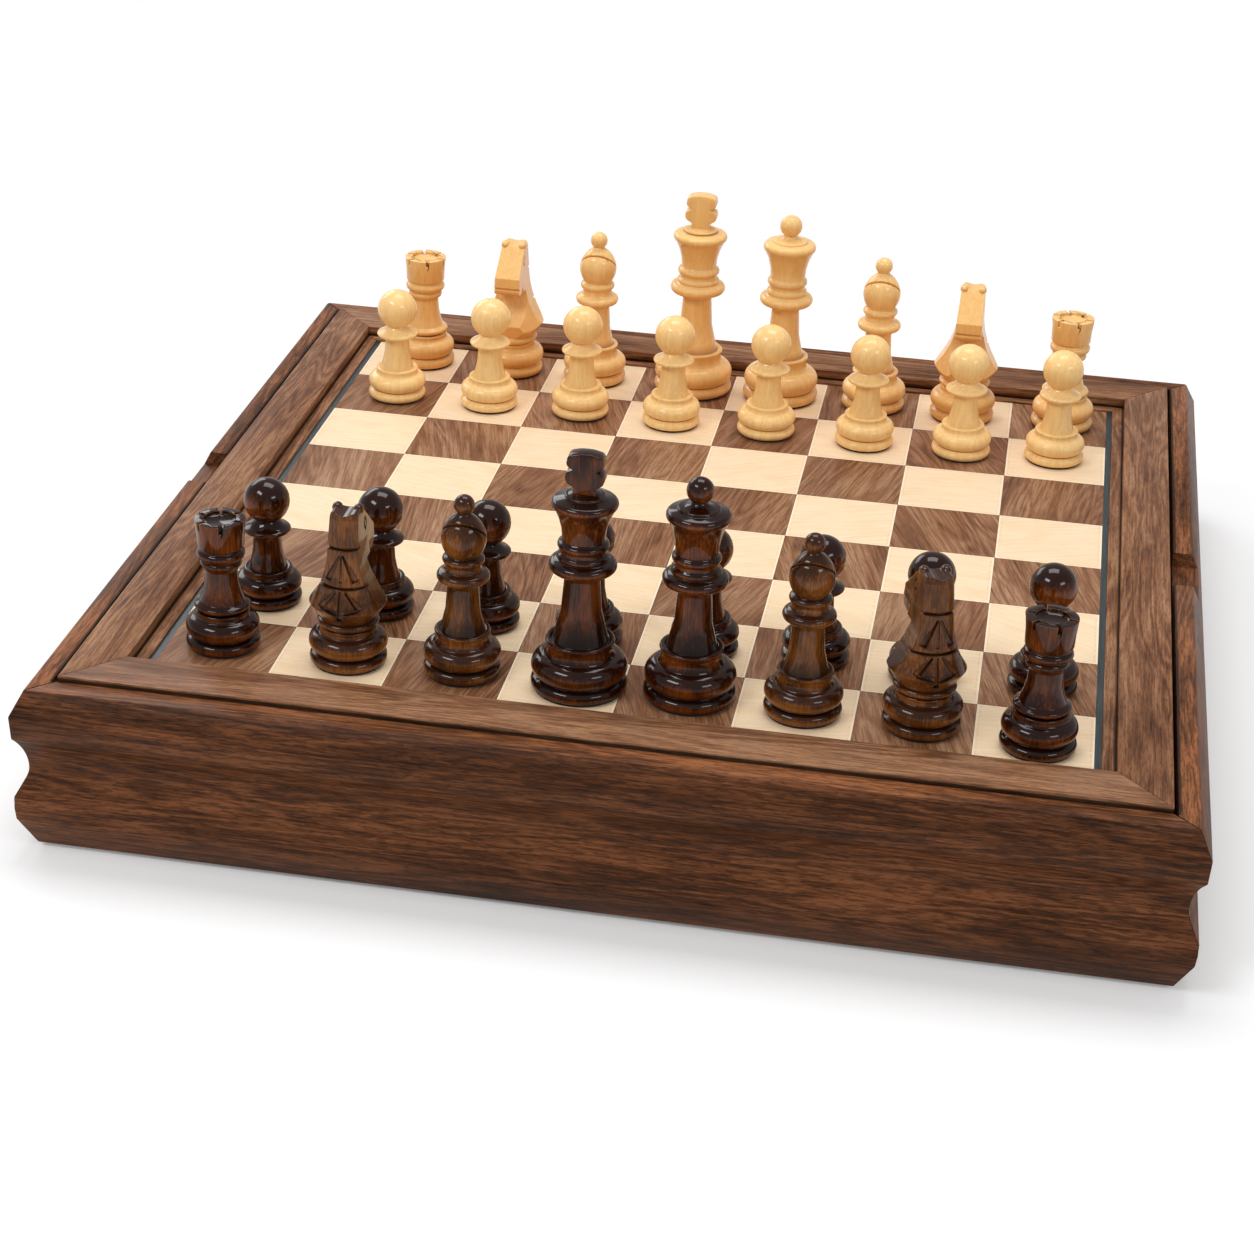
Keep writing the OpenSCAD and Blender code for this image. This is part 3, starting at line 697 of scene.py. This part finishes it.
def drawer_lining(side, drawer, cloth):
    """The felt laid in a drawer, with a slight cockle."""
    width = LINING_HIGH.x - LINING_LOW.x - LINING_PLAY
    length = LINING_HIGH.y - LINING_LOW.y - LINING_PLAY
    bpy.ops.mesh.primitive_grid_add(x_subdivisions=40, y_subdivisions=70, size=1)
    piece = bpy.context.object
    piece.name = drawer + "_felt"
    middle = side * (LINING_LOW.x + LINING_HIGH.x) / 2
    for point in piece.data.vertices:
        x, y = point.co.x * width, point.co.y * length
        cockle = 0.05 * math.sin(x / 17 + 2) * math.sin(y / 23) + 0.05
        point.co = (middle + x, y, LINING_HIGH.z - 0.15 + cockle)
    apply(piece, "SOLIDIFY", thickness=LINING_T, offset=-1)
    smooth(piece, 30)
    hand_over(piece, drawer, [cloth], [f"{drawer}_lining"])


def felt_disc(name, radius, low, high):
    """A stamped felt disc with a softly rounded rim."""
    middle, bulge = (low + high) / 2, (high - low) / 2
    rim = arc((radius - bulge, middle), bulge, -90, 90, 6)
    disc = turn(name, [(0, low), *rim, (0, high)])
    bpy.ops.object.shade_smooth()
    return disc


def feet(cloth):
    """The felt feet under the box."""
    at_x, at_y = FEET_HIGH.x - FOOT_R, FEET_HIGH.y - FOOT_R
    places = [(x, y) for x in (-at_x, at_x) for y in (-at_y, at_y)]
    disc = felt_disc("foot", FOOT_R, FEET_LOW.z, FEET_HIGH.z)
    for number, (x, y) in enumerate(places, 1):
        foot = copy_of(disc, f"foot_{number}", (x, y, 0))
        hand_over(foot, "case", [cloth], ["felt_feet"])
    bpy.data.objects.remove(disc)


def copy_of(piece, name, place, facing=0.0):
    """A copy with its own mesh, turned and stood in its place."""
    choose(piece)
    bpy.ops.object.duplicate(linked=False)
    copy = bpy.context.object
    copy.name = name
    copy.rotation_euler = (0, 0, math.radians(facing))
    copy.location = place
    settle(copy)
    return copy


def dress_nodes(finishes):
    """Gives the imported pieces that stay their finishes."""
    for node, finish in finishes.items():
        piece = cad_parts[node]
        piece.data.materials.clear()
        piece.data.materials.append(finish)


# ---- Chess men ----

# Outlines are stations of radius and height above the field. A third number is how far
# the stretch below a station swells (above 0) or is hollowed (below 0).
WOOD_Z = 0.8
FELT_TOP = 0.75


def bowed(start, end, bow, step=5):
    """Points of an arc from start to end that bows out by bow, without the start."""
    a, b = Vector(start), Vector(end)
    chord = b - a
    along = chord.normalized()
    out = Vector((along.y, -along.x)) * math.copysign(1, bow)
    half = 2 * math.atan(2 * abs(bow) / chord.length)
    radius = chord.length / (2 * math.sin(half))
    centre = (a + b) / 2 - out * radius * math.cos(half)
    steps = max(2, math.ceil(math.degrees(half) / step))
    turns = [-half + 2 * half * i / steps for i in range(1, steps + 1)]
    return [tuple(centre + radius * (out * math.cos(t) + along * math.sin(t))) for t in turns]


def outline(stations):
    """The points of a turned outline."""
    points = []
    for radius, height, *bow in stations:
        station = (radius, height)
        points += bowed(points[-1], station, *bow) if bow else [station]
    return points


def foot(base_r, base_h, bead_bow, cup_r, cup_z, lip_z):
    """The foot that all men share: ring, groove, full bead and cup with a rounded lip."""
    return [
        (0, WOOD_Z),
        (base_r - 0.9, WOOD_Z),
        (base_r - 1, base_h, 0.9),
        (base_r - 2.1, base_h + 0.5),
        (cup_r + 0.4, cup_z, bead_bow),
        (cup_r, lip_z, -0.14 * (lip_z - cup_z)),
        (cup_r - 0.5, lip_z + 1, 0.3),
        (cup_r - 1.7, lip_z + 0.9),
    ]


def ball(neck_r, ball_r, centre_z):
    """A ball on a neck."""
    start = -math.degrees(math.acos(neck_r / ball_r))
    return [(max(r, 0), z) for r, z in arc((0, centre_z), ball_r, start, 90, 20)]


KING = foot(15.8, 4.4, 3, 11.2, 12.6, 17.2) + [
    (9.1, 17.8), (5.8, 39, -0.9), (6.6, 41.2, -0.3), (9.5, 42.2), (9.1, 46.1, 1.7), (8.2, 46.5),
    (8.1, 48.1, 0.3), (7.4, 48.6), (7.4, 49.9), (7.5, 52.5, 0.9), (6.9, 53.2), (9.9, 64, -0.7),
    (9.6, 67, 1), (6.4, 67.6), (5.9, 68.6, 0.4), (4.3, 69.2, -0.1), (0, 69.4),
]
KING_FINIAL = [
    (3.9, 68.4), (3.5, 71.3, -0.1), (5.5, 72.4), (5.9, 76.2, 0.6), (3.7, 77), (5, 77.8),
    (5.8, 80.2, 0.5), (4.3, 82.2, 0.5), (0, 82.8, 0.2),
]
QUEEN = foot(15.2, 4.5, 3, 10.3, 12.9, 17.9) + [
    (8.3, 18.4), (5.6, 37, -0.8), (6.3, 39.6, -0.3), (9.1, 40.6), (8.8, 44.4, 1.7), (7.9, 44.9),
    (7.7, 46.8, 0.3), (7.1, 47.3), (7.1, 48.6), (7.2, 51.3, 0.8), (6.9, 52), (9.7, 62.8, -0.7),
    (9.4, 66, 0.9), (7, 66.3), (6.6, 67.2, 0.1), (3, 68.3, -0.3),
] + ball(2.4, 4.4, 72.8)
BISHOP = foot(12.75, 4.2, 2.7, 9.1, 11.4, 15.2) + [
    (7.4, 15.8), (5.2, 30.9, -0.6), (5.6, 32.8, -0.2), (7.5, 33.6), (7.2, 36.9, 1.3), (6.2, 37.4),
    (6, 39.8, -0.2), (6.2, 42.2, 0.8), (5.4, 42.6), (7.4, 49, 0.6), (2.6, 56.6, 1),
] + ball(2.2, 3.4, 59.8)
ROOK = foot(12.3, 4.1, 2.4, 8.9, 11.4, 12.8) + [
    (7.6, 14), (8.6, 14.5), (8.7, 16.3, 0.6), (7.5, 17), (5.4, 27.4, -0.5), (5.7, 29, -0.2),
    (6.3, 29.4), (6.3, 31.4, 0.5), (7, 32.3), (7, 35.2, 0.9), (6.8, 35.8), (7.7, 36.6),
    (8.3, 46, -0.15), (0, 46),
]
PAWN = foot(11.5, 3.9, 2.4, 8.2, 10.4, 12) + [
    (6.7, 12.7), (4.8, 23, -0.5), (4.9, 25.2, -0.1), (7.5, 26.2), (7.8, 27.5, 0.35),
    (4.6, 29.7, -0.3),
] + ball(4, 7.8, 37.2)
KNIGHT = foot(12.8, 4.2, 2.8, 9.3, 11.5, 13) + [
    (8.6, 13.8), (9.3, 14.4), (9.4, 16.6, 0.8), (8.8, 17), (0, 17),
]
FINIAL_T = 5.8
BASE_R = {"king": 15.8, "queen": 15.2, "bishop": 12.75, "rook": 12.3, "pawn": 11.5, "knight": 12.8}


def king():
    """The finial is sawn from a board, so its front is flat."""
    piece = turn("king", outline(KING))
    half = outline(KING_FINIAL)
    whole = half + [(-x, z) for x, z in reversed(half[:-1])]
    finial = drawn_out("finial", [(x, -FINIAL_T / 2, z) for x, z in whole], (0, FINIAL_T, 0))
    ease(finial, 0.45, limit=25)
    return join(piece, finial)


def queen():
    """Turned throughout."""
    return turn("queen", outline(QUEEN))


SLIT_LEAN, SLIT_Z, SLIT_T = math.radians(47), 49.5, 0.8


def bishop():
    """The mitre's slit leans towards the front and reaches half way in."""
    piece = turn("bishop", outline(BISHOP))
    reach = Vector((0, -math.cos(SLIT_LEAN), math.sin(SLIT_LEAN))) * 20
    lift = Vector((0, math.sin(SLIT_LEAN), math.cos(SLIT_LEAN))) * (SLIT_T / 2)
    middle = Vector((-20, 0, SLIT_Z))
    slit = [middle - lift, middle + lift, middle + lift + reach, middle - lift + reach]
    carve(piece, drawn_out("slit", slit, (40, 0, 0)))
    return piece


DISH_R, DISH_Z = 5.3, 44.4
BATTLEMENT_T, BATTLEMENT_Z = 1.2, 43.4
BATTLEMENT_TURNS = (-12, 48, 108)


def rook():
    """Dished at the top, and its rim sawn through in six places for the battlements."""
    piece = turn("rook", outline(ROOK))
    floor = [(0, DISH_Z + 0.1), (DISH_R - 1, DISH_Z), (DISH_R, DISH_Z + 0.6)]
    carve(piece, turn("dish", floor + [(DISH_R, 50), (0, 50)]))
    half = BATTLEMENT_T / 2
    for degrees in BATTLEMENT_TURNS:
        saw = box("saw", (-BIG, -half, BATTLEMENT_Z), (BIG, half, 50))
        carve(saw, turn("middle", [(0, 40), (DISH_R, 40), (DISH_R, 52), (0, 52)]))
        saw.rotation_euler = (0, 0, math.radians(degrees))
        carve(piece, saw)
    return piece


def pawn():
    """Turned throughout."""
    return turn("pawn", outline(PAWN))


# A knight's neck is a turned block, cut to its outlines from the side (forwards, up) and
# from the front (half width, up).
KNIGHT_BLOCK = [
    (0, 16.7), (8.8, 16.7), (12.7, 22.3, 0.2), (8.6, 40, -0.8), (6.7, 53), (5.6, 57), (0, 57),
]
NECK_SIDE = [(-14, 16.5), (8.6, 16.5), (9.9, 22.4)] + bowed((9.9, 22.4), (2.2, 38.2), -1.3, 1)
NECK_SIDE += [(2.2, 44), (-14, 44)]
HEAD_SIDE = [
    (-14, 36), (1.8, 36.6), (12, 37), (13.3, 37.6), (13.8, 38.5), (13.8, 39.2), (12.9, 39.8),
    (14.3, 40.4), (13.8, 44.3), (2.6, 54.2), (1.4, 55.3), (-14, 55.3),
]
BODY_WIDTH = [(13, 16.5), (13, 22)] + bowed((13, 22), (5.1, 44), -2.2, 1) + [(4.7, 53)]
BODY_WIDTH += [(4.6, 54.2), (4.2, 54.9), (3.5, 55.2), (2.4, 55), (1.2, 54.5), (0, 54.3)]
MUZZLE_HALF = 5.2
EAR_AT, EAR_R, EAR_STRETCH = Vector((3.5, -0.8, 54.5)), 1.7, 1.4
EYE_Y, EYE_Z, EYE_STEPS = -3.6, 48.6, 24
EYE_FLOOR, PUPIL_FLOOR = 4.2, 3.9
CHEST_TILT, CHEST_TURN, CHEST_AT = math.radians(-19.5), math.radians(-50), (5.2, -2.2, 38.2)
# The height and depth of each saw cut, the ends (across, up) of each gouge line of the
# mane, and the width and depth of its lines and of the thin one in the middle.
SAW_CUTS = ((43.6, 1.3), (30.6, 1.4))
MANE_GOUGE, THIN_GOUGE = (1.8, 1.3), (1.0, 0.8)
MANE_LINES = [
    ((0.5, 41.6), (4.4, 32.6)), ((-0.5, 41.6), (-4.4, 32.6)), ((1.6, 29.4), (6.6, 23.4)),
    ((-1.6, 29.4), (-6.6, 23.4)), ((0, 29.6), (0, 19.4)), ((-6.4, 23.4), (0, 22.4)),
    ((6.4, 23.4), (0, 22.4)),
]


def block_radius(height):
    """The radius of the turned block that the neck is carved from."""
    points = outline(KNIGHT_BLOCK)[1:-1]
    for (r0, z0), (r1, z1) in zip(points, points[1:]):
        if z0 <= height <= z1:
            return r0 + (r1 - r0) * (height - z0) / (z1 - z0)
    return points[-1][0]


def from_side(shape):
    """A cutting block with this outline when seen from the side."""
    return drawn_out("side", [(-BIG, -forward, z) for forward, z in shape], (2 * BIG, 0, 0))


def from_front(half):
    """A cutting block with this outline, mirrored, when seen from the front."""
    shape = half + [(-x, z) for x, z in reversed(half[:-1])]
    return drawn_out("front", [(x, -BIG, z) for x, z in shape], (0, 2 * BIG, 0))


def chest_corner(side):
    """A block whose face is the slanting facet at one corner of the chest."""
    tool = box("corner", (0, -BIG, -BIG), (BIG, BIG, BIG))
    tool.rotation_euler = (0, CHEST_TILT, CHEST_TURN)
    settle(tool)
    tool.location = CHEST_AT
    settle(tool)
    if side < 0:
        tool.scale = (-1, 1, 1)
        settle(tool)
        edit(tool)
        close()
    return tool


def mane_cut(start, end, width, depth):
    """A gouge line on the back of the neck between two (across, up) points."""
    a, b = Vector(start), Vector(end)
    aside = Vector((-(b - a).y, (b - a).x)).normalized() * (width / 2)
    corners = []
    for point, sign in ((a, -0.4), (a, 0.4), (b, 1), (b, -1)):
        surface = math.sqrt(max(block_radius(point.y) ** 2 - point.x**2, 1))
        at = point + aside * sign
        corners.append((at.x, surface - depth, at.y))
    return drawn_out("gouge", corners, (0, 12, 0))


def saw_cut(height, depth):
    """A level saw cut round the back of the neck."""
    inner, outer = block_radius(height) - depth, BIG
    ring = [(inner, height - 0.5), (outer, height - 0.75), (outer, height + 0.75), (inner, height + 0.5)]
    cut = turn("saw", ring + ring[:1])
    carve(cut, box("front", (-BIG, -BIG, 0), (BIG, 1, BIG)))
    return cut


def almond(half_width, half_height, power=1):
    """The outline of an eye; a higher power draws its corners out to points."""
    turns = [math.tau * i / EYE_STEPS for i in range(EYE_STEPS)]
    return [(half_width * math.cos(t) ** power, half_height * math.sin(t)) for t in turns]


def eye(side):
    """The line round an eye, cut into a cheek."""
    rim = [(side * EYE_FLOOR, EYE_Y + y, EYE_Z + z) for y, z in almond(1.5, 2.7, 3)]
    ring = drawn_out("eye", rim, (side * 3, 0, 0))
    middle = [(side * PUPIL_FLOOR, EYE_Y + y, EYE_Z + z) for y, z in almond(0.75, 1.35)]
    carve(ring, drawn_out("pupil", middle, (side * 4, 0, 0)))
    return ring


def knight_neck():
    """The neck and chest, cut from the block."""
    neck = turn("neck", outline(KNIGHT_BLOCK))
    carve(neck, from_side(NECK_SIDE), "INTERSECT")
    carve(neck, from_front(BODY_WIDTH), "INTERSECT")
    for side in (-1, 1):
        carve(neck, chest_corner(side))
    return neck


def knight_head():
    """The head with its square muzzle, cut from the block."""
    head = turn("head", outline(KNIGHT_BLOCK))
    carve(head, box("muzzle", (-MUZZLE_HALF, -16, 30), (MUZZLE_HALF, 0, 57)), "UNION")
    carve(head, from_side(HEAD_SIDE), "INTERSECT")
    carve(head, from_front(BODY_WIDTH), "INTERSECT")
    return head


def add_ears(neck):
    """Two small round ears on the poll."""
    for side in (-1, 1):
        place = (side * EAR_AT.x, EAR_AT.y, EAR_AT.z)
        bpy.ops.mesh.primitive_uv_sphere_add(segments=24, ring_count=14, radius=EAR_R, location=place)
        bpy.context.object.scale = (1, EAR_STRETCH, 1)
        carve(neck, bpy.context.object, "UNION")


def knight():
    """Turned below, carved above: it faces the front."""
    base = turn("knight", outline(KNIGHT))
    neck = knight_neck()
    carve(neck, knight_head(), "UNION")
    add_ears(neck)
    for height, depth in SAW_CUTS:
        carve(neck, saw_cut(height, depth))
    for start, end in MANE_LINES:
        carve(neck, mane_cut(start, end, *MANE_GOUGE))
    carve(neck, mane_cut((0, 41), (0, 32.4), *THIN_GOUGE))
    for side in (-1, 1):
        carve(neck, eye(side))
    apply(neck, "REMESH", mode="SHARP", octree_depth=8, scale=0.95, use_remove_disconnected=False)
    apply(neck, "SMOOTH", factor=0.5, iterations=9)
    apply(neck, "DECIMATE", ratio=0.3)
    return join(base, neck)


SPREAD_ROUNDS, SPREAD_REACH = 3, 1.4


def spread(mesh, values):
    """Lets each value fade out over its neighbours, to nothing at the reach in millimetres."""
    for _ in range(SPREAD_ROUNDS):
        wider = list(values)
        for edge in mesh.edges:
            a, b = edge.vertices
            kept = max(1 - (mesh.vertices[a].co - mesh.vertices[b].co).length / SPREAD_REACH, 0)
            wider[a] = max(wider[a], values[b] * kept)
            wider[b] = max(wider[b], values[a] * kept)
        values = wider
    return values


def bends_of(mesh):
    """How far the surface bends at each point: above 0 in a hollow, below 0 on a ridge."""
    bends = [[] for _ in mesh.vertices]
    for edge in mesh.edges:
        ends = [mesh.vertices[i] for i in edge.vertices]
        for here, there in (ends, ends[::-1]):
            way = there.co - here.co
            if way.length >= 1e-6:
                bends[here.index].append(way.normalized().dot(here.normal))
    return [sum(found) / max(len(found), 1) for found in bends]


def keep(mesh, name, values):
    """Stores a value for each point of a mesh."""
    mesh.attributes.new(name, "FLOAT", "POINT").data.foreach_set("value", values)


def mark_edges(piece, least):
    """Stores where the ridges are, and the hollows that bend more than least."""
    mesh = piece.data
    bends = bends_of(mesh)
    keep(mesh, "ridge", [min(max((-b - 0.12) * 4, 0), 1) for b in bends])
    # The hollows carry the painted shade in the grooves of the men.
    keep(mesh, "hollow", spread(mesh, [min(max((b - least) * 5, 0), 1) for b in bends]))


def finished_man(kind, piece):
    """Eases and marks a man and cuts its felt. A knight's carving keeps its own edges."""
    carved = kind == "knight"
    ease(piece, 0.14, limit=60 if carved else 33)
    if carved:
        smooth(piece, 50)
    mark_edges(piece, 0.2 if carved else 0.06)
    return piece, felt_disc(kind + "_felt", BASE_R[kind] - 1, 0, FELT_TOP)


MAKERS = {"king": king, "queen": queen, "bishop": bishop, "knight": knight, "rook": rook, "pawn": pawn}
MEN = "rook_left knight_left bishop_left king queen bishop_right knight_right rook_right".split()
MEN += [f"pawn_{n}" for n in range(1, 9)]
# How light each man's wood is, in the order of MEN.
TONES = {
    "dark": [0.1, 0.5, 0.2, 0.05, 0.15, 0.35, 0.4, 0.1, 0.2, 0.1, 0.15, 0.05, 0.2, 0.15, 0.1, 0.2],
    "light": [0.1, 0.05, 0.45, 0.25, 0.35, 0.5, 0.05, 0.2, 0.75, 0.9, 0.7, 0.8, 0.75, 0.7, 0.8, 0.75],
}
# One dark knight is turned a little on its square.
KNIGHT_TURN = 20


def standing_place(node, kind, facing):
    """Where a man stands. A knight's muzzle overhangs, so it is placed by its back."""
    low, high = span(node)
    middle = (low + high) / 2
    if kind == "knight":
        half = (high.x - low.x) / 2
        middle.y = low.y + half if facing else high.y - half
    return middle.x, middle.y, FIELD_Z


def stand_man(node, man, pad, wood, cloth, slot, tone):
    """Stands a copy of a man and of its felt in its place."""
    shade, kind = node.split("_")[:2]
    facing = 180 if kind == "knight" and shade == "dark" else 0
    place = standing_place(node, kind, facing)
    if node == "dark_knight_right":
        facing += KNIGHT_TURN
    man = copy_of(man, node + "_wood", place, facing)
    keep(man.data, "tone", [tone] * len(man.data.vertices))
    hand_over(man, node, [wood], [node])
    pad = copy_of(pad, node + "_felt", place)
    hand_over(pad, node, [cloth], [node])


# ---- Room, light and camera ----

AMBIENT = 0.5
ROOM_SHEEN = 0.25
FLOOR_R, FLOOR_DROP = 4, 0.0002


def seen_directly(finish):
    """1 for camera and transmission rays, and less for glossy ones, as in a dim room."""
    rays = finish.add("LightPath")
    outputs = rays.socket.node.outputs
    glossy, transmitted = (Value(finish, outputs[f"Is {ray} Ray"]) for ray in ("Glossy", "Transmission"))
    return rays.math("MAXIMUM", glossy * ROOM_SHEEN).math("MAXIMUM", transmitted)


def white_floor():
    """A pale floor that keeps the shadow and runs out to plain white."""
    place = (0, 0, -FLOOR_DROP)
    bpy.ops.mesh.primitive_circle_add(vertices=96, radius=FLOOR_R, fill_type="NGON", location=place)
    floor = bpy.context.object
    floor.name = "floor"
    finish = Finish("floor")
    plain = finish.add("BsdfDiffuse", inputs={"Color": (0.8, 0.8, 0.8, 1)})
    seen = seen_directly(finish)
    near = finish.add("AddShader", inputs=(plain, finish.glow("Emission", seen * 0.15)))
    white = finish.glow("Emission", 1.0)
    away = finish.add("VectorMath", {"operation": "LENGTH"}, (finish.place,), output=1)
    floor_shader = finish.add("MixShader", inputs=(away.ramp(0.2, 0.5) * seen, near, white))
    finish.add("OutputMaterial", inputs={"Surface": floor_shader})
    floor.data.materials.append(finish.material)


def white_world():
    """A white room with a dim ceiling; what lights the object is plain and even."""
    world = Finish("studio", "worlds", "Generated")
    height = world.split(world.place)[2]
    walls = 1 - height.ramp(0.03, 0.4) * 0.8
    seen = seen_directly(world)
    strength = seen * walls + (1 - seen) * AMBIENT
    world.add("OutputWorld", inputs={"Surface": world.glow("Background", strength)})
    bpy.context.scene.world = world.material


LIGHTS_AIM = Vector((0, 0, 0.05))


def softbox(name, place, size, power):
    """A rectangular soft light."""
    lamp = bpy.data.lights.new(name, "AREA")
    lamp.shape = "RECTANGLE"
    lamp.size, lamp.size_y = size
    lamp.energy = power
    holder = bpy.data.objects.new(name, lamp)
    bpy.context.scene.collection.objects.link(holder)
    holder.location = place
    holder.rotation_euler = (LIGHTS_AIM - Vector(place)).to_track_quat("-Z", "Y").to_euler()


def light_room():
    """A broad light above, one behind and two strips in front, for highlights on the lacquer."""
    softbox("top_light", (0.0, 0.3, 1.4), (0.9, 0.6), 9.5)
    softbox("left_light", (-0.75, -0.85, 1.25), (0.7, 0.3), 8)
    softbox("back_light", (-0.95, 1.0, 0.7), (0.9, 0.5), 5)
    softbox("right_light", (1.1, -0.9, 0.95), (0.6, 0.25), 3.5)


BEARING, HEIGHT, ROLL = (math.radians(degrees) for degrees in (9.63, 26.81, 2.01))
CAMERA_AT = Vector((0.1166, -0.9078, 0.4186 + FIELD_Z * MM))
FOCAL_SHARE, CAMERA_SHIFT = 2739 / 1254, 0.0391


def place_camera():
    """The camera, turned by its bearing, height and roll."""
    turns = ((BEARING, "Z"), (math.pi / 2 - HEIGHT, "X"), (ROLL, "Z"))
    bearing, lean, roll = (Matrix.Rotation(angle, 3, axis) for angle, axis in turns)
    data = bpy.data.cameras.new("camera")
    camera = bpy.data.objects.new("camera", data)
    bpy.context.scene.collection.objects.link(camera)
    camera.rotation_euler = (bearing @ lean @ roll).to_euler()
    camera.location = CAMERA_AT
    data.lens = FOCAL_SHARE * data.sensor_width
    data.shift_x = CAMERA_SHIFT
    bpy.context.scene.camera = camera


# ---- Putting it together ----


def walnut_pair(kind, grain):
    """The finish of a walnut length and of its eased edges."""
    return [walnut(kind, grain), worn_arris(kind, grain)]


def build_box(cloth, beech_boards):
    """The case, the frame and the two drawers."""
    frame_walnut = {grain: walnut_pair("frame", grain) for grain in "xy"}
    # The mouldings' walnut is painted darker, as shade for their upright faces.
    shaded_walnut = {grain: walnut_pair("moulding", grain) for grain in "xy"}
    for name, side in (("front", -1), ("back", 1)):
        piece = cross_moulding(name + "_length", side)
        hand_over(piece, "case", shaded_walnut["x"], [name + "_moulding"])
    for name, side in (("left", -1), ("right", 1)):
        drawer = name + "_drawer"
        piece = drawer_front(drawer + "_moulding", side)
        hand_over(piece, drawer, shaded_walnut["y"], [drawer + "_front"])
        drawer_box(side, drawer, beech_boards)
        drawer_lining(side, drawer, cloth)
    rails(frame_walnut)
    ledges(frame_walnut)
    feet(cloth)


def build_men(cloth):
    """The boxwood men and the stained ones, whose bishops and knights are the most worn."""
    gloss = stained("stained_gloss", "240a02", "8a4410", GLOSS)
    worn = stained("stained_worn", "371906", "9a5c22", WORN_GLOSS)
    woods = {"light": boxwood(), "dark": gloss, "dark_bishop": worn, "dark_knight": worn}
    made = {kind: finished_man(kind, maker()) for kind, maker in MAKERS.items()}
    for shade, slot in (("dark", "ebonised_wood"), ("light", "boxwood")):
        for name, tone in zip(MEN, TONES[shade]):
            kind = name.split("_")[0]
            wood = woods.get(f"{shade}_{kind}", woods[shade])
            stand_man(f"{shade}_{name}", *made[kind], wood, cloth, slot, tone)
    for man, pad in made.values():
        bpy.data.objects.remove(man)
        bpy.data.objects.remove(pad)


def build():
    """Everything but the room."""
    boards = {grain: beech(grain) for grain in "xy"}
    cloth = felt()
    build_box(cloth, boards)
    build_men(cloth)
    flat_ply, wall_ply = plywood("plywood_panel", "x", "z"), plywood("plywood_wall", "x", "y")
    dress_nodes({
        "bottom_panel": flat_ply,
        "board_core": plywood("plywood_core", "x", "z", 0.8),
        "left_drawer_bottom": flat_ply,
        "right_drawer_bottom": flat_ply,
        "case_wall_front": wall_ply,
        "case_wall_back": wall_ply,
        "centre_divider": plywood("plywood_divider", "y", "x"),
        "stop_battens": boards["y"],
        "light_squares": maple_squares(),
        "dark_squares": walnut_squares(),
        "slate_strips": slate_line(),
        "bottom_screws": zinc(),
    })


build()
white_floor()
white_world()
light_room()
place_camera()
bpy.context.scene.view_settings.view_transform = "Standard"
